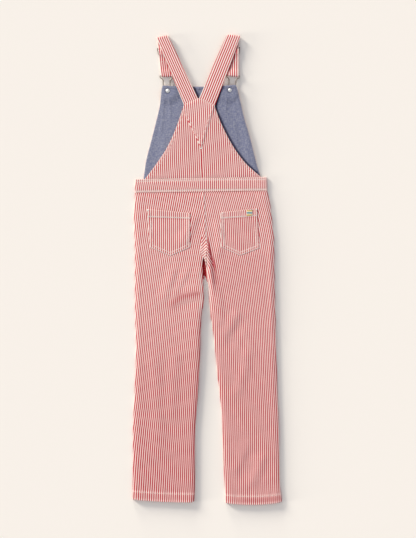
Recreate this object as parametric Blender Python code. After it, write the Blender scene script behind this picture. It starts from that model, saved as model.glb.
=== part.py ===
"""Child's striped dungarees, laid flat on their front with the back uppermost.

Metres. +Y runs to the shoulder straps, +X to the right of someone who looks down on the laid garment, and
+Z up from the surface that it lies on. The origin is on that surface, at the middle of the garment's outline.
Left and right are the wearer's, which are also the onlooker's, because the garment lies on its front.
"""

import math

import bmesh
import bpy
import numpy as np
from mathutils import Matrix

# Cloth and seams
SEAM = 0.0003  # between two pieces that are sewn to each other
LEG_WALL = 0.0012  # striped cotton with the seams felled in
BAND_WALL = 0.0015  # waistband, doubled
BIB_WALL = 0.0011
LINING_WALL = 0.0010
BACK_BIB_WALL = 0.0013
PATCH_WALL = 0.0010  # pockets, yoke and tab
STRAP_WALL = 0.0016  # strap, folded double and stitched

# Heights of the laid layers
LEG_EDGE = 0.0030  # back of a leg beside its side seams
LEG_LOFT = 0.0013  # more than that in the middle of the leg
LOFT_REACH = 0.012  # how far in from a rolled edge the leg is fully lofted
ROLL = 0.0015  # radius of the rolled edges at the side seams
BAND_TOP = 0.0042
BIB_AT_WAIST = 0.0041
BIB_AT_STRAPS = 0.0065
HEM = 0.020
HEM_STEP = 0.0004  # the turned-up hem stands this much prouder
HEM_LINE = 0.0008  # half the length over which the hem steps up

# Front bib over its buttons
BIB_LIFT = 0.0047  # the clips and buttons under it hold its corners up this far
LIFT_FLAT = 0.014
LIFT_REACH = 0.036

# Metal
WIRE = 0.0011  # radius of the clip's wire
CLIP_HEIGHT = 0.0030  # of the wire's middle
CLIP_LENGTH = 0.0355  # from the button to the middle of the strap's bar
NECK = 0.0079  # half the width of the clip's narrow part
CLIP_TIP = 0.0020  # how far past the button its loop is straight
SHOULDER = 0.0152  # half the width at the strap's bar
BUTTON_RADIUS = 0.0085
SHANK_RADIUS = 0.0022
RIVET_RADIUS = 0.0047
RIVET_RISE = 0.0012

# Straps
STRAP_FRONT_WIDTH = 0.026
TURN_TOP = 0.0066  # middle of the strap's thickness where it turns over at the top
STRAP_LOW = STRAP_WALL / 2
SLIDER_LENGTH = 0.015
SLIDER_DROP = 0.030  # from the turned top of the strap to the slider's middle
SLIDER_BAR = 0.0022  # width of each bar along the strap
SLIDER_RAIL = 0.0024
SLIDER_HALF = 0.0160
SLIDER_LOW_BAR = 0.0016  # top of the two outer bars
SLIDER_MID_BAR = (0.0021, 0.0036)  # underside and top of the bar that the strap's end is sewn round
SLIDER_INSET = 0.0005  # how far the bars stop short of the rails' outer faces
SLACK = 0.0002  # of the strap over the slider's bars
STRAP_OVER_OUTER = SLIDER_LOW_BAR + SEAM + STRAP_LOW + SLACK
STRAP_OVER_MIDDLE = SLIDER_MID_BAR[1] + SEAM + STRAP_LOW + SLACK
STRAP_LYING = STRAP_LOW + STRAP_WALL + SEAM  # where the strap's end lies on the layer under it
LEVEL_AGAIN = 0.028  # from the slider's middle to where the under layer lies level

# The under layer's wave over the outer bars: (distance from the middle, where a bar is at 1; share of the rise)
SLIDER_WAVE = [(0.0, 0.05), (0.38, 0.3), (0.78, 0.9), (1.0, 1.0), (1.2, 0.95), (1.66, 0.3), (2.2, 0.0)]
# The end's way back from the clip's bar: (distance from the bar, height of its middle)
STRAP_BACK = [(0.008, 0.0047), (0.016, STRAP_LYING + 0.0004), (0.024, STRAP_LYING)]
# and up over the slider, where it turns in: (distance from the slider's middle towards the clip, height)
STRAP_TUCK = [
    (0.0180, STRAP_LYING), (0.0120, STRAP_LYING + 0.0008), (0.0074, STRAP_OVER_MIDDLE),
    (0.0, STRAP_OVER_MIDDLE), (-0.0022, STRAP_OVER_MIDDLE - 0.0004), (-0.0036, STRAP_OVER_MIDDLE - 0.0012),
]

# Outlines, rows of (y, x) from the waist seam down
SIDE_LEFT = [
    (0.1762, -0.1651), (0.1235, -0.1679), (0.0407, -0.1656), (-0.0697, -0.1656), (-0.1801, -0.1633),
    (-0.2629, -0.1656), (-0.3733, -0.1702), (-0.4561, -0.1702), (-0.5060, -0.1714), (-0.5283, -0.1725),
]
SIDE_RIGHT = [
    (0.1810, 0.1380), (0.1511, 0.1449), (0.1097, 0.1500), (0.0683, 0.1541), (-0.0145, 0.1553),
    (-0.1249, 0.1580), (-0.2353, 0.1605), (-0.3733, 0.1656), (-0.4900, 0.1680), (-0.5150, 0.1708),
    (-0.5265, 0.1725),
]
INSEAM_LEFT = [
    (-0.0350, -0.0080), (-0.0559, -0.0068), (-0.0760, -0.0075), (-0.0973, -0.0115), (-0.1249, -0.0138),
    (-0.2077, -0.0161), (-0.2905, -0.0207), (-0.3733, -0.0270), (-0.5113, -0.0279), (-0.5345, -0.0300),
]
INSEAM_RIGHT = [
    (-0.0350, 0.0028), (-0.0559, 0.0043), (-0.0973, 0.0069), (-0.1249, 0.0115), (-0.1801, 0.0184),
    (-0.2353, 0.0230), (-0.2905, 0.0299), (-0.3457, 0.0345), (-0.4009, 0.0368), (-0.4561, 0.0385),
    (-0.5113, 0.0414), (-0.5340, 0.0425),
]
CENTRE_BACK = [(0.1780, -0.0078), (0.1400, -0.0050), (0.1010, -0.0032), (0.0683, -0.0022), (0.0480, -0.0015)]
CROTCH_LEFT = [(0.0360, -0.0035), (0.0270, -0.0085), (0.0150, -0.0100), (-0.0100, -0.0094)]
CROTCH_RIGHT = [(0.0360, -0.0012), (0.0189, -0.0026), (0.0000, -0.0020), (-0.0156, -0.0008)]
CENTRE_FRONT = [(0.1780, -0.0078), (0.0800, -0.0062), (0.0000, -0.0052), (-0.0120, -0.0050)]
HEM_BOW_LEFT = 0.0020  # how far the hem hangs below the straight line between its corners
HEM_BOW_RIGHT = 0.0098
BACK_ROLL = (0.0340, 0.0050)  # where the crotch edges of the back legs begin to roll and are fully rolled
FRONT_ROLL = (-0.0120, -0.0350)

# Waistband edges, rows of (x, y)
BAND_UPPER = [(-0.1651, 0.2079), (-0.0092, 0.2114), (0.1375, 0.2128)]
BAND_LOWER = [(-0.1651, 0.1762), (-0.0078, 0.1780), (0.1380, 0.1810)]

# Bib outlines, rows of (y, x) from the waistband up
BIB_LEFT = [
    (0.2086, -0.1460), (0.2477, -0.1403), (0.3029, -0.1265), (0.3581, -0.1127), (0.3788, -0.1081),
    (0.3995, -0.1058), (0.4160, -0.1040), (0.4232, -0.1015),
]
BIB_RIGHT = [
    (0.2130, 0.1235), (0.2477, 0.1127), (0.3029, 0.0989), (0.3581, 0.0828), (0.3788, 0.0782),
    (0.3995, 0.0736), (0.4170, 0.0690), (0.4246, 0.0660),
]
BIB_TOP_DIP = 0.0030
BACK_BIB_LEFT = [
    (0.2087, -0.1425), (0.2155, -0.1371), (0.2454, -0.1150), (0.2776, -0.0936), (0.3105, -0.0773),
    (0.3429, -0.0651), (0.3780, -0.0531),
]
BACK_BIB_SEAM = [(0.2117, -0.0106), (0.2750, -0.0136), (0.3300, -0.0160), (0.3930, -0.0190)]
BACK_BIB_RIGHT = [
    (0.2131, 0.1245), (0.2183, 0.1180), (0.2454, 0.0881), (0.2776, 0.0637), (0.3105, 0.0449),
    (0.3457, 0.0285), (0.3754, 0.0179),
]
YOKE_POINT = (-0.0127, 0.2772)
YOKE_LEFT = (-0.0564, 0.3666)
YOKE_RIGHT = (0.0184, 0.3750)

# Pocket outlines: corners (x, y), clockwise from the upper left
POCKET_LEFT = [(-0.1380, 0.1398), (-0.0382, 0.1304), (-0.0382, 0.0515), (-0.0840, 0.0315), (-0.1311, 0.0510)]
POCKET_RIGHT = [(0.0308, 0.1318), (0.1152, 0.1410), (0.1212, 0.0495), (0.0754, 0.0320), (0.0320, 0.0520)]
TAB = [(0.0912, 0.1365), (0.1044, 0.1379), (0.1040, 0.1247), (0.0908, 0.1233)]

# Straps: where each starts at the bib, turns over and meets its clip, as (x, y)
STRAPS = {
    "left": {
        "seam": (-0.0367, 0.3857), "seam_across": (0.917, 0.404), "seam_width": 0.036,
        "turn": (-0.1019, 0.5331), "turn_across": (0.978, 0.206), "turn_width": 0.0265,
        "bar": (-0.0928, 0.4460), "bar_across": (1.0, 0.0), "button": (-0.0902, 0.4108),
        "rise": [(0.0, 0.0060), (0.2, 0.0066), (0.4, 0.0072), (0.75, 0.0070), (1.0, TURN_TOP)],
    },
    "right": {
        "seam": (0.0003, 0.3855), "seam_across": (0.888, -0.459), "seam_width": 0.040,
        "turn": (0.0603, 0.5354), "turn_across": (0.997, -0.078), "turn_width": 0.0325,
        "bar": (0.0597, 0.4470), "bar_across": (0.996, -0.087), "button": (0.0529, 0.4126),
        "rise": [
            (0.0, 0.0060), (0.1, 0.0071), (0.22, 0.0079), (0.45, 0.0074), (0.75, 0.0070), (1.0, TURN_TOP),
        ],
    },
}

# Folds of the seat and legs. Each runs from one point to another with a bow to its left, stands up by its
# height, or sinks if that is negative, and falls away over one width on its left and another on its right.
FOLD_COLUMNS = ("x0", "y0", "x1", "y1", "bow", "height", "left", "right")
FOLDS = [
    (-0.0115, -0.0375, -0.0900, -0.0885, -0.009, 0.0020, 0.012, 0.034),
    (-0.0207, 0.1465, -0.0667, 0.0407, 0.004, 0.0014, 0.020, 0.026),
    (-0.0713, 0.0177, -0.1081, -0.0835, 0.003, 0.0014, 0.018, 0.022),
    (-0.1265, -0.1387, -0.1127, -0.4607, 0.006, 0.0008, 0.026, 0.026),
    (-0.0667, -0.1617, -0.0805, -0.3687, -0.005, 0.0008, 0.024, 0.024),
    (0.0020, 0.0560, 0.0190, -0.0450, -0.003, 0.0019, 0.011, 0.014),
    (0.0740, -0.0880, 0.0280, -0.1620, 0.004, 0.0014, 0.014, 0.018),
    (0.0900, -0.1000, 0.0430, -0.1850, 0.003, -0.0013, 0.016, 0.014),
    (0.1000, -0.1480, 0.0560, -0.3110, 0.008, 0.0010, 0.020, 0.020),
    (0.0950, -0.3830, 0.0520, -0.4800, 0.004, 0.0011, 0.014, 0.020),
    (0.1130, -0.3920, 0.0670, -0.4980, 0.004, -0.0013, 0.015, 0.015),
    (0.1360, -0.4050, 0.0920, -0.5080, 0.004, 0.0016, 0.020, 0.016),
    (0.0200, 0.1100, 0.0290, 0.0180, 0.002, 0.0012, 0.020, 0.014),
]

STRIPED = ("striped_cotton", (0.66, 0.33, 0.31), 0.85, 0.0)
CHAMBRAY = ("chambray", (0.24, 0.25, 0.34), 0.85, 0.0)
NICKEL = ("nickel", (0.72, 0.70, 0.66), 0.30, 1.0)
BRONZED = ("bronzed_metal", (0.16, 0.10, 0.07), 0.40, 1.0)
WOVEN = ("woven_tab", (0.70, 0.52, 0.30), 0.80, 0.0)


def clear_scene():
    for thing in list(bpy.data.objects):
        bpy.data.objects.remove(thing, do_unlink=True)


def finish(name, colour, roughness, metallic):
    """Material of this name, made once."""
    material = bpy.data.materials.get(name)
    if material is None:
        material = bpy.data.materials.new(name)
        material.use_nodes = True
        shader = material.node_tree.nodes["Principled BSDF"]
        shader.inputs["Base Color"].default_value = (*colour, 1.0)
        shader.inputs["Roughness"].default_value = roughness
        shader.inputs["Metallic"].default_value = metallic
    return material


def place(name, data, look):
    """New object for one piece, in its own material."""
    data.materials.append(finish(*look))
    piece = bpy.data.objects.new(name, data)
    bpy.context.scene.collection.objects.link(piece)
    return piece


def place_bmesh(name, shape, look):
    bmesh.ops.recalc_face_normals(shape, faces=shape.faces)
    data = bpy.data.meshes.new(name)
    shape.to_mesh(data)
    shape.free()
    return place(name, data, look)


def ease(amount):
    """0 below 0, 1 above 1, and a smooth step between."""
    amount = np.clip(amount, 0.0, 1.0)
    return amount * amount * (3.0 - 2.0 * amount)


def smooth(rows, at):
    """Value at a key, on a smooth curve through rows of (key, value) that never swings past them."""
    key, value = np.array(sorted(rows)).T
    span = np.diff(key)
    chord = np.diff(value) / span
    one_way = chord[:-1] * chord[1:] > 0
    before, after = np.where(one_way, chord[:-1], 1.0), np.where(one_way, chord[1:], 1.0)
    weight, other = 2 * span[1:] + span[:-1], span[1:] + 2 * span[:-1]
    bend = np.where(one_way, (weight + other) / (weight / before + other / after), 0.0)
    slope = np.concatenate([chord[:1], bend, chord[-1:]])
    i = np.clip(np.searchsorted(key, at) - 1, 0, len(key) - 2)
    step = key[i + 1] - key[i]
    t = (at - key[i]) / step
    rise = value[i] * (1 + 2 * t) * (1 - t) ** 2 + value[i + 1] * t * t * (3 - 2 * t)
    return rise + step * (slope[i] * t * (1 - t) ** 2 - slope[i + 1] * t * t * (1 - t))


def edge(rows, parts, shift=0.0):
    """Plan points on an outline, at these fractions of its height from the first row to the last."""
    y = rows[0][0] + (rows[-1][0] - rows[0][0]) * np.asarray(parts)
    return np.stack([smooth(rows, y) + shift, y], axis=1)


# Sheets of cloth


def faces_of_grid(rows, columns):
    """Triangles over a grid of points that are numbered row by row."""
    corner = np.arange(rows * columns).reshape(rows, columns)
    a, b = corner[:-1, :-1].ravel(), corner[:-1, 1:].ravel()
    c, d = corner[1:, 1:].ravel(), corner[1:, :-1].ravel()
    return np.concatenate([np.stack([a, b, c], axis=1), np.stack([a, c, d], axis=1)])


def rim_of_grid(rows, columns):
    """Numbers of the points round a grid's border, in order."""
    corner = np.arange(rows * columns).reshape(rows, columns)
    return np.concatenate([corner[0, :-1], corner[:-1, -1], corner[-1, :0:-1], corner[:0:-1, 0]])


def walled(name, outer, inner, look):
    """Closed wall between two grids of points."""
    rows, columns = outer.shape[:2]
    count = rows * columns
    faces = faces_of_grid(rows, columns)
    rim = rim_of_grid(rows, columns)
    after = np.roll(rim, -1)
    sides = np.concatenate(
        [np.stack([rim, after, after + count], axis=1), np.stack([rim, after + count, rim + count], axis=1)]
    )
    points = np.concatenate([outer.reshape(-1, 3), inner.reshape(-1, 3)])
    data = bpy.data.meshes.new(name)
    data.from_pydata(points.tolist(), [], np.concatenate([faces, faces[:, ::-1] + count, sides]).tolist())
    shape = bmesh.new()
    shape.from_mesh(data)
    bpy.data.meshes.remove(data)
    return place_bmesh(name, shape, look)


def across_rows(left, right, columns):
    """Plan grid between two edges, with close columns where the edges roll over.

    Also gives each column's share of a roll at the left edge and at the right, from 1 at the edge to 0."""
    turn = np.radians([0.0, 30.0, 60.0])
    step_in = ROLL * (1.0 - np.cos(turn))
    length = np.linalg.norm(right - left, axis=1)[:, None]
    inside = ROLL + (length - 2 * ROLL) * np.linspace(0.0, 1.0, columns + 1)
    near = np.broadcast_to(step_in, (len(length), len(turn)))
    along = np.concatenate([near, inside, length - near[:, ::-1]], axis=1)
    plan = left[:, None] + (right - left)[:, None] * (along / length)[..., None]
    share = np.concatenate([1.0 - np.sin(turn), np.zeros(columns + 1 + len(turn))])
    return plan, along, length - along, share, share[::-1]


def inward(points, left_roll, right_roll, wall, up):
    """The same grid moved in by the wall's thickness. A rolled edge is vertical where it ends."""
    before = 2 * points[:, 0] - points[:, 1]
    beyond = 2 * points[:, -1] - points[:, -2]
    before[:, :2] += (points[:, 1, :2] - before[:, :2]) * left_roll[:, None]
    beyond[:, :2] += (points[:, -2, :2] - beyond[:, :2]) * right_roll[:, None]
    padded = np.concatenate([before[:, None], points, beyond[:, None]], axis=1)
    across = padded[:, 2:] - padded[:, :-2]
    down = np.gradient(points, axis=0)
    normal = np.cross(across, down)
    normal *= (up * np.sign(normal[..., 2].mean())) / np.linalg.norm(normal, axis=2)[..., None]
    return points - wall * normal


def fold_height(x, y):
    """Height of the folds over a plan point."""
    total = np.zeros_like(x)
    for row in FOLDS:
        fold = dict(zip(FOLD_COLUMNS, row))
        run = np.array([fold["x1"] - fold["x0"], fold["y1"] - fold["y0"]])
        length = np.hypot(*run)
        run = run / length
        t = ((x - fold["x0"]) * run[0] + (y - fold["y0"]) * run[1]) / length
        off = (y - fold["y0"]) * run[0] - (x - fold["x0"]) * run[1] - fold["bow"] * 4 * t * (1 - t)
        width = np.where(off > 0, fold["left"], fold["right"])
        crest = 0.5 + 0.5 * np.cos(np.pi * np.clip(np.abs(off) / width, 0.0, 1.0))
        total += fold["height"] * crest * ease(t / 0.3) * ease((1 - t) / 0.3)
    return total


# Legs


def leg_parts(rows, length):
    """Fractions of a leg's length for its rows, with two close ones where the hem steps up."""
    line = 1.0 - HEM / length
    step = HEM_LINE / length
    return np.concatenate([np.linspace(0.0, line - step, rows), [line + step, 1.0]])


def leg_panel(name, sides, rolls, bow, rows, columns, back):
    """One panel of a leg between its two edges, and its outer face. Back panels face up and carry the folds.

    A roll is the pair of heights where an edge begins to roll over and is fully rolled, or None for all of it."""
    length = sides[0][0][0] - sides[0][-1][0]
    parts = leg_parts(rows, length)
    left = edge(sides[0], parts, SEAM / 2 * (rolls[0] is not None))
    right = edge(sides[1], parts, -SEAM / 2 * (rolls[1] is not None))
    plan, from_left, from_right, left_share, right_share = across_rows(left, right, columns)
    x, y = plan[..., 0], plan[..., 1].copy()
    fraction = from_left / (from_left + from_right)
    y -= bow * 4 * fraction * (1 - fraction) * ease((parts - 0.85) / 0.15)[:, None]
    y[0] = smooth(BAND_LOWER, x[0]) - SEAM / 2

    def rolled(roll, points):
        return np.ones(len(points)) if roll is None else ease((roll[0] - points[:, 1]) / (roll[0] - roll[1]))

    left_roll, right_roll = rolled(rolls[0], left), rolled(rolls[1], right)
    drop = left_roll[:, None] * left_share + right_roll[:, None] * right_share
    middle = LEG_EDGE / 2
    if back:
        loft = 1.0 - left_roll[:, None] * (1.0 - ease(from_left / LOFT_REACH))
        loft *= 1.0 - right_roll[:, None] * (1.0 - ease(from_right / LOFT_REACH))
        proud = HEM_STEP * (parts > 1.0 - HEM / length)[:, None]
        top = LEG_EDGE + loft * (LEG_LOFT + fold_height(x, y) + proud)
        z = top - (top - middle - SEAM / 2) * drop
    else:
        z = (middle - SEAM / 2) * drop
    outer = np.stack([x, y, z], axis=2)
    inner = inward(outer, left_roll, right_roll, LEG_WALL, 1.0 if back else -1.0)
    walled(name, outer, inner, STRIPED)
    return outer


def patch_on(name, sheet, outline, wall, look):
    """Piece sewn flat on a sheet: the part of the sheet inside a convex outline, moved up and given a wall.

    The outline is a list of sides, each two plan points with the kept part on the right of the line."""
    shape = bmesh.new()
    points = [shape.verts.new(point) for point in sheet.reshape(-1, 3)]
    for corners in faces_of_grid(*sheet.shape[:2]):
        shape.faces.new([points[corner] for corner in corners])
    for (x0, y0), (x1, y1) in outline:
        everything = [*shape.verts, *shape.edges, *shape.faces]
        away = (y0 - y1, x1 - x0, 0)
        bmesh.ops.bisect_plane(
            shape, geom=everything, dist=1e-7, plane_co=(x0, y0, 0), plane_no=away, clear_outer=True
        )
    bmesh.ops.translate(shape, verts=shape.verts, vec=(0, 0, SEAM))
    copied = bmesh.ops.extrude_face_region(shape, geom=shape.faces[:], use_keep_orig=True)
    raised = [item for item in copied["geom"] if isinstance(item, bmesh.types.BMVert)]
    bmesh.ops.translate(shape, verts=raised, vec=(0, 0, wall))
    return place_bmesh(name, shape, look)


def sides_of(corners):
    """The sides of a closed outline whose corners run clockwise."""
    return list(zip(corners, corners[1:] + corners[:1]))


def build_legs():
    back_left = [SIDE_LEFT, CENTRE_BACK + CROTCH_LEFT + INSEAM_LEFT]
    back_right = [CENTRE_BACK + CROTCH_RIGHT + INSEAM_RIGHT, SIDE_RIGHT]
    front_left = [SIDE_LEFT, CENTRE_FRONT + INSEAM_LEFT]
    front_right = [CENTRE_FRONT + INSEAM_RIGHT, SIDE_RIGHT]
    leg_panel("front_leg_left", front_left, (None, FRONT_ROLL), HEM_BOW_LEFT, 24, 5, False)
    leg_panel("front_leg_right", front_right, (FRONT_ROLL, None), HEM_BOW_RIGHT, 24, 5, False)
    seat_left = leg_panel("back_leg_left", back_left, (None, BACK_ROLL), HEM_BOW_LEFT, 38, 9, True)
    seat_right = leg_panel("back_leg_right", back_right, (BACK_ROLL, None), HEM_BOW_RIGHT, 38, 9, True)
    patch_on("pocket_left", seat_left, sides_of(POCKET_LEFT), PATCH_WALL, STRIPED)
    patch_on("pocket_right", seat_right, sides_of(POCKET_RIGHT), PATCH_WALL, STRIPED)
    on_pocket = seat_right + np.array([0.0, 0.0, SEAM + PATCH_WALL])
    patch_on("pocket_tab", on_pocket, sides_of(TAB), PATCH_WALL, WOVEN)


# Waistband


def waistband(name, back):
    """One half of the waistband. It rolls down, or up, to the other half at both sides."""
    parts = np.linspace(0.0, 1.0, 3)[:, None]
    upper, lower = np.array(BAND_UPPER), np.array(BAND_LOWER)
    left, right = (upper[end] * (1 - parts) + lower[end] * parts for end in (0, -1))
    plan, from_left, from_right, left_share, right_share = across_rows(left, right, 14)
    x = plan[..., 0]
    top = smooth(BAND_UPPER, x) - SEAM / 2
    bottom = smooth(BAND_LOWER, x) + SEAM / 2
    y = top + (bottom - top) * parts
    drop = np.broadcast_to(left_share + right_share, x.shape)
    middle = BAND_TOP / 2
    z = BAND_TOP - (middle - SEAM / 2) * drop if back else (middle - SEAM / 2) * drop
    outer = np.stack([x, y, z], axis=2)
    rolled = np.ones(len(parts))
    inner = inward(outer, rolled, rolled, BAND_WALL, 1.0 if back else -1.0)
    return walled(name, outer, inner, STRIPED)


# Bib


def clip_axis(side):
    """Foot of a clip's middle line, level with the button, and the way that it runs from there."""
    across = np.array(STRAPS[side]["bar_across"])
    up = np.array([-across[1], across[0]]) / np.hypot(*across)
    return np.array(STRAPS[side]["bar"]) - up * CLIP_LENGTH, up


def bib_lift(x, y):
    """How far the clips and buttons hold the front bib up off the surface."""
    lift = np.zeros_like(x)
    for side in STRAPS:
        foot, up = clip_axis(side)
        along = np.maximum((x - foot[0]) * up[0] + (y - foot[1]) * up[1], 0.0)
        from_clip = np.hypot(x - foot[0] - along * up[0], y - foot[1] - along * up[1])
        from_button = np.hypot(x - STRAPS[side]["button"][0], y - STRAPS[side]["button"][1])
        away = np.minimum(from_clip, from_button) - LIFT_FLAT
        lift = np.maximum(lift, BIB_LIFT * (1.0 - ease(away / (LIFT_REACH - LIFT_FLAT))))
    return lift


def front_bib():
    """Outer cloth and lining of the front bib, one over the other."""
    parts = np.concatenate([np.linspace(0.0, 0.62, 6), np.linspace(0.68, 1.0, 9)])
    left, right = edge(BIB_LEFT, parts), edge(BIB_RIGHT, parts)
    fraction = np.linspace(0.0, 1.0, 21)
    plan = left[:, None] + (right - left)[:, None] * fraction[:, None]
    plan[..., 1] -= BIB_TOP_DIP * np.outer(parts**4, 4 * fraction * (1 - fraction))
    plan[0, :, 1] = smooth(BAND_UPPER, plan[0, :, 0]) + SEAM / 2
    height = bib_lift(plan[..., 0], plan[..., 1])[..., None]
    under = np.concatenate([plan, height], axis=2)
    up = np.array([0.0, 0.0, 1.0])
    walled("bib_front", under, under + up * BIB_WALL, STRIPED)
    lining = under + up * (BIB_WALL + SEAM)
    walled("bib_lining", lining, lining + up * LINING_WALL, CHAMBRAY)


def back_bib():
    """The two halves of the back bib, and the pointed patch over their tops."""
    parts = np.linspace(0.0, 1.0, 13)
    fraction = np.linspace(0.0, 1.0, 7)[:, None]
    halves = []
    for name, left, right in (
        ("bib_back_left", edge(BACK_BIB_LEFT, parts), edge(BACK_BIB_SEAM, parts, -SEAM / 2)),
        ("bib_back_right", edge(BACK_BIB_SEAM, parts, SEAM / 2), edge(BACK_BIB_RIGHT, parts)),
    ):
        plan = left[:, None] + (right - left)[:, None] * fraction
        plan[0, :, 1] = smooth(BAND_UPPER, plan[0, :, 0]) + SEAM / 2
        plan[-1, :, 1] -= SEAM
        rise = BIB_AT_WAIST + (BIB_AT_STRAPS - BIB_AT_WAIST) * ease(parts)
        height = np.broadcast_to(rise[:, None, None], (*plan.shape[:2], 1))
        outer = np.concatenate([plan, height], axis=2)
        walled(name, outer, outer - np.array([0.0, 0.0, BACK_BIB_WALL]), STRIPED)
        halves.append(outer)
    whole = np.concatenate(halves, axis=1)
    sides = [(YOKE_RIGHT, YOKE_POINT), (YOKE_POINT, YOKE_LEFT)]
    patch_on("bib_yoke", whole, sides, PATCH_WALL, STRIPED)


# Straps and their metal


def strap(side):
    """Strap from the back bib over the top, down through its slider, round the clip's bar and back up."""
    plan = STRAPS[side]
    seam, turn, bar = (np.array(plan[key]) for key in ("seam", "turn", "bar"))
    seam_across, turn_across, bar_across = (
        np.array(plan[key]) / np.hypot(*plan[key]) for key in ("seam_across", "turn_across", "bar_across")
    )
    ahead = np.array([-turn_across[1], turn_across[0]])
    below = np.array([bar_across[1], -bar_across[0]])
    down = (bar - turn) / np.hypot(*(bar - turn))
    front_length = np.hypot(*(bar - turn))
    stations = []

    def add(point, height, across, width):
        stations.append((*point, height, *across, width))

    for t in np.linspace(0.0, 0.98, 13):
        across = seam_across + (turn_across - seam_across) * t
        width = plan["seam_width"] + (plan["turn_width"] - plan["seam_width"]) * t
        add(seam + (turn - seam) * t, smooth(plan["rise"], t), across, width)
    radius = (TURN_TOP - STRAP_LOW) / 2
    for angle in np.radians(np.linspace(90.0, -90.0, 9)):
        width = plan["turn_width"] + (STRAP_FRONT_WIDTH - plan["turn_width"]) * (0.5 - angle / np.pi)
        height = STRAP_LOW + radius + radius * math.sin(angle)
        add(turn + ahead * radius * math.cos(angle), height, turn_across, width)

    outer_bar = (SLIDER_LENGTH - SLIDER_BAR) / 2
    wave = [(-at, share) for at, share in SLIDER_WAVE[:0:-1]] + SLIDER_WAVE
    climb = STRAP_OVER_OUTER - STRAP_LOW
    front = [(SLIDER_DROP + at * outer_bar, STRAP_LOW + climb * share) for at, share in wave]
    front += [(at, STRAP_LOW) for at in np.linspace(SLIDER_DROP + LEVEL_AGAIN, front_length, 3)]
    for at, height in front:
        across = turn_across + (bar_across - turn_across) * at / front_length
        add(turn + down * at, height, across, STRAP_FRONT_WIDTH)
    loop = WIRE + SEAM + STRAP_LOW
    for angle in np.radians(np.linspace(-67.5, 90.0, 8)):
        height = CLIP_HEIGHT + loop * math.sin(angle)
        add(bar + below * loop * math.cos(angle), height, bar_across, STRAP_FRONT_WIDTH)
    back = [(front_length - at, height) for at, height in STRAP_BACK]
    back += [(SLIDER_DROP + at, height) for at, height in STRAP_TUCK]
    for at, height in back:
        across = turn_across + (bar_across - turn_across) * at / front_length
        add(turn + down * at, height, across, STRAP_FRONT_WIDTH)

    stations = np.array(stations)
    middle, across, width = stations[:, :3], stations[:, 3:5], stations[:, 5]
    across = np.pad(across / np.linalg.norm(across, axis=1)[:, None], ((0, 0), (0, 1)))
    normal = np.cross(across, np.gradient(middle, axis=0))
    normal *= STRAP_WALL / 2 / np.linalg.norm(normal, axis=1)[:, None]
    reach = across * width[:, None] / 2
    cloth_side = np.stack([middle - reach + normal, middle + reach + normal], axis=1)
    other_side = np.stack([middle - reach - normal, middle + reach - normal], axis=1)
    walled("strap_" + side, cloth_side, other_side, STRIPED)
    across = turn_across + (bar_across - turn_across) * SLIDER_DROP / front_length
    return turn + down * SLIDER_DROP, math.atan2(across[1], across[0])


def box(name, low, high):
    """Helper block that a slider is joined from."""
    shape = bmesh.new()
    low, high = np.array(low), np.array(high)
    block = Matrix.Translation((low + high) / 2) @ Matrix.Diagonal((*(high - low), 1))
    bmesh.ops.create_cube(shape, size=1.0, matrix=block)
    return place_bmesh(name, shape, BRONZED)


def slider(side, centre, turned):
    """Slider: two side rails joined by an outer bar at each end and a raised bar in the middle."""
    half, end = SLIDER_HALF, SLIDER_LENGTH / 2
    rail, reach = half - SLIDER_RAIL, half - SLIDER_INSET
    low, (mid_low, mid_high) = SLIDER_LOW_BAR, SLIDER_MID_BAR
    frame = box("slider_" + side, (-half, -end, 0.0), (-rail, end, mid_high))
    bars = [
        ((rail, -end, 0.0), (half, end, mid_high)),
        ((-reach, -end, 0.0), (reach, SLIDER_BAR - end, low)),
        ((-reach, end - SLIDER_BAR, 0.0), (reach, end, low)),
        ((-reach, -SLIDER_BAR / 2, mid_low), (reach, SLIDER_BAR / 2, mid_high)),
    ]
    for number, (lowest, highest) in enumerate(bars):
        bar = box(f"slider_{side}_bar_{number}", lowest, highest)
        bar.hide_render = True
        bar.display_type = "WIRE"
        bar.parent = frame
        join = frame.modifiers.new(f"join_{number}", "BOOLEAN")
        join.operation = "UNION"
        join.object = bar
    frame.location = (*centre, 0.0)
    frame.rotation_euler.z = turned


def clip(side):
    """Wire clip: a bar for the strap, shoulders, and a narrow loop that hooks under the button's head."""
    foot, up = clip_axis(side)
    half = [
        (0.0, CLIP_LENGTH), (0.0070, CLIP_LENGTH), (0.0132, CLIP_LENGTH), (0.0147, 0.0350), (SHOULDER, 0.0338),
        (0.0150, 0.0322), (0.0136, 0.0304), (0.0108, 0.0286), (0.0090, 0.0266), (0.0081, 0.0240),
        (NECK, 0.0200), (NECK, 0.0080),
    ]
    arc = [(NECK * math.cos(a), -CLIP_TIP - NECK * math.sin(a)) for a in np.radians((0.0, 22.5, 45.0, 67.5))]
    right = half + arc
    outline = right + [(0.0, -CLIP_TIP - NECK)] + [(-x, y) for x, y in right[:0:-1]]
    data = bpy.data.curves.new("clip_" + side, "CURVE")
    data.dimensions = "3D"
    data.bevel_depth = WIRE
    data.bevel_resolution = 1
    spline = data.splines.new("POLY")
    spline.use_cyclic_u = True
    spline.points.add(len(outline) - 1)
    for point, (x, y) in zip(spline.points, outline):
        point.co = (x, y, 0.0, 1.0)
    piece = place("clip_" + side, data, NICKEL)
    piece.location = (*foot, CLIP_HEIGHT)
    piece.rotation_euler.z = -math.atan2(up[0], up[1])


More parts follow.
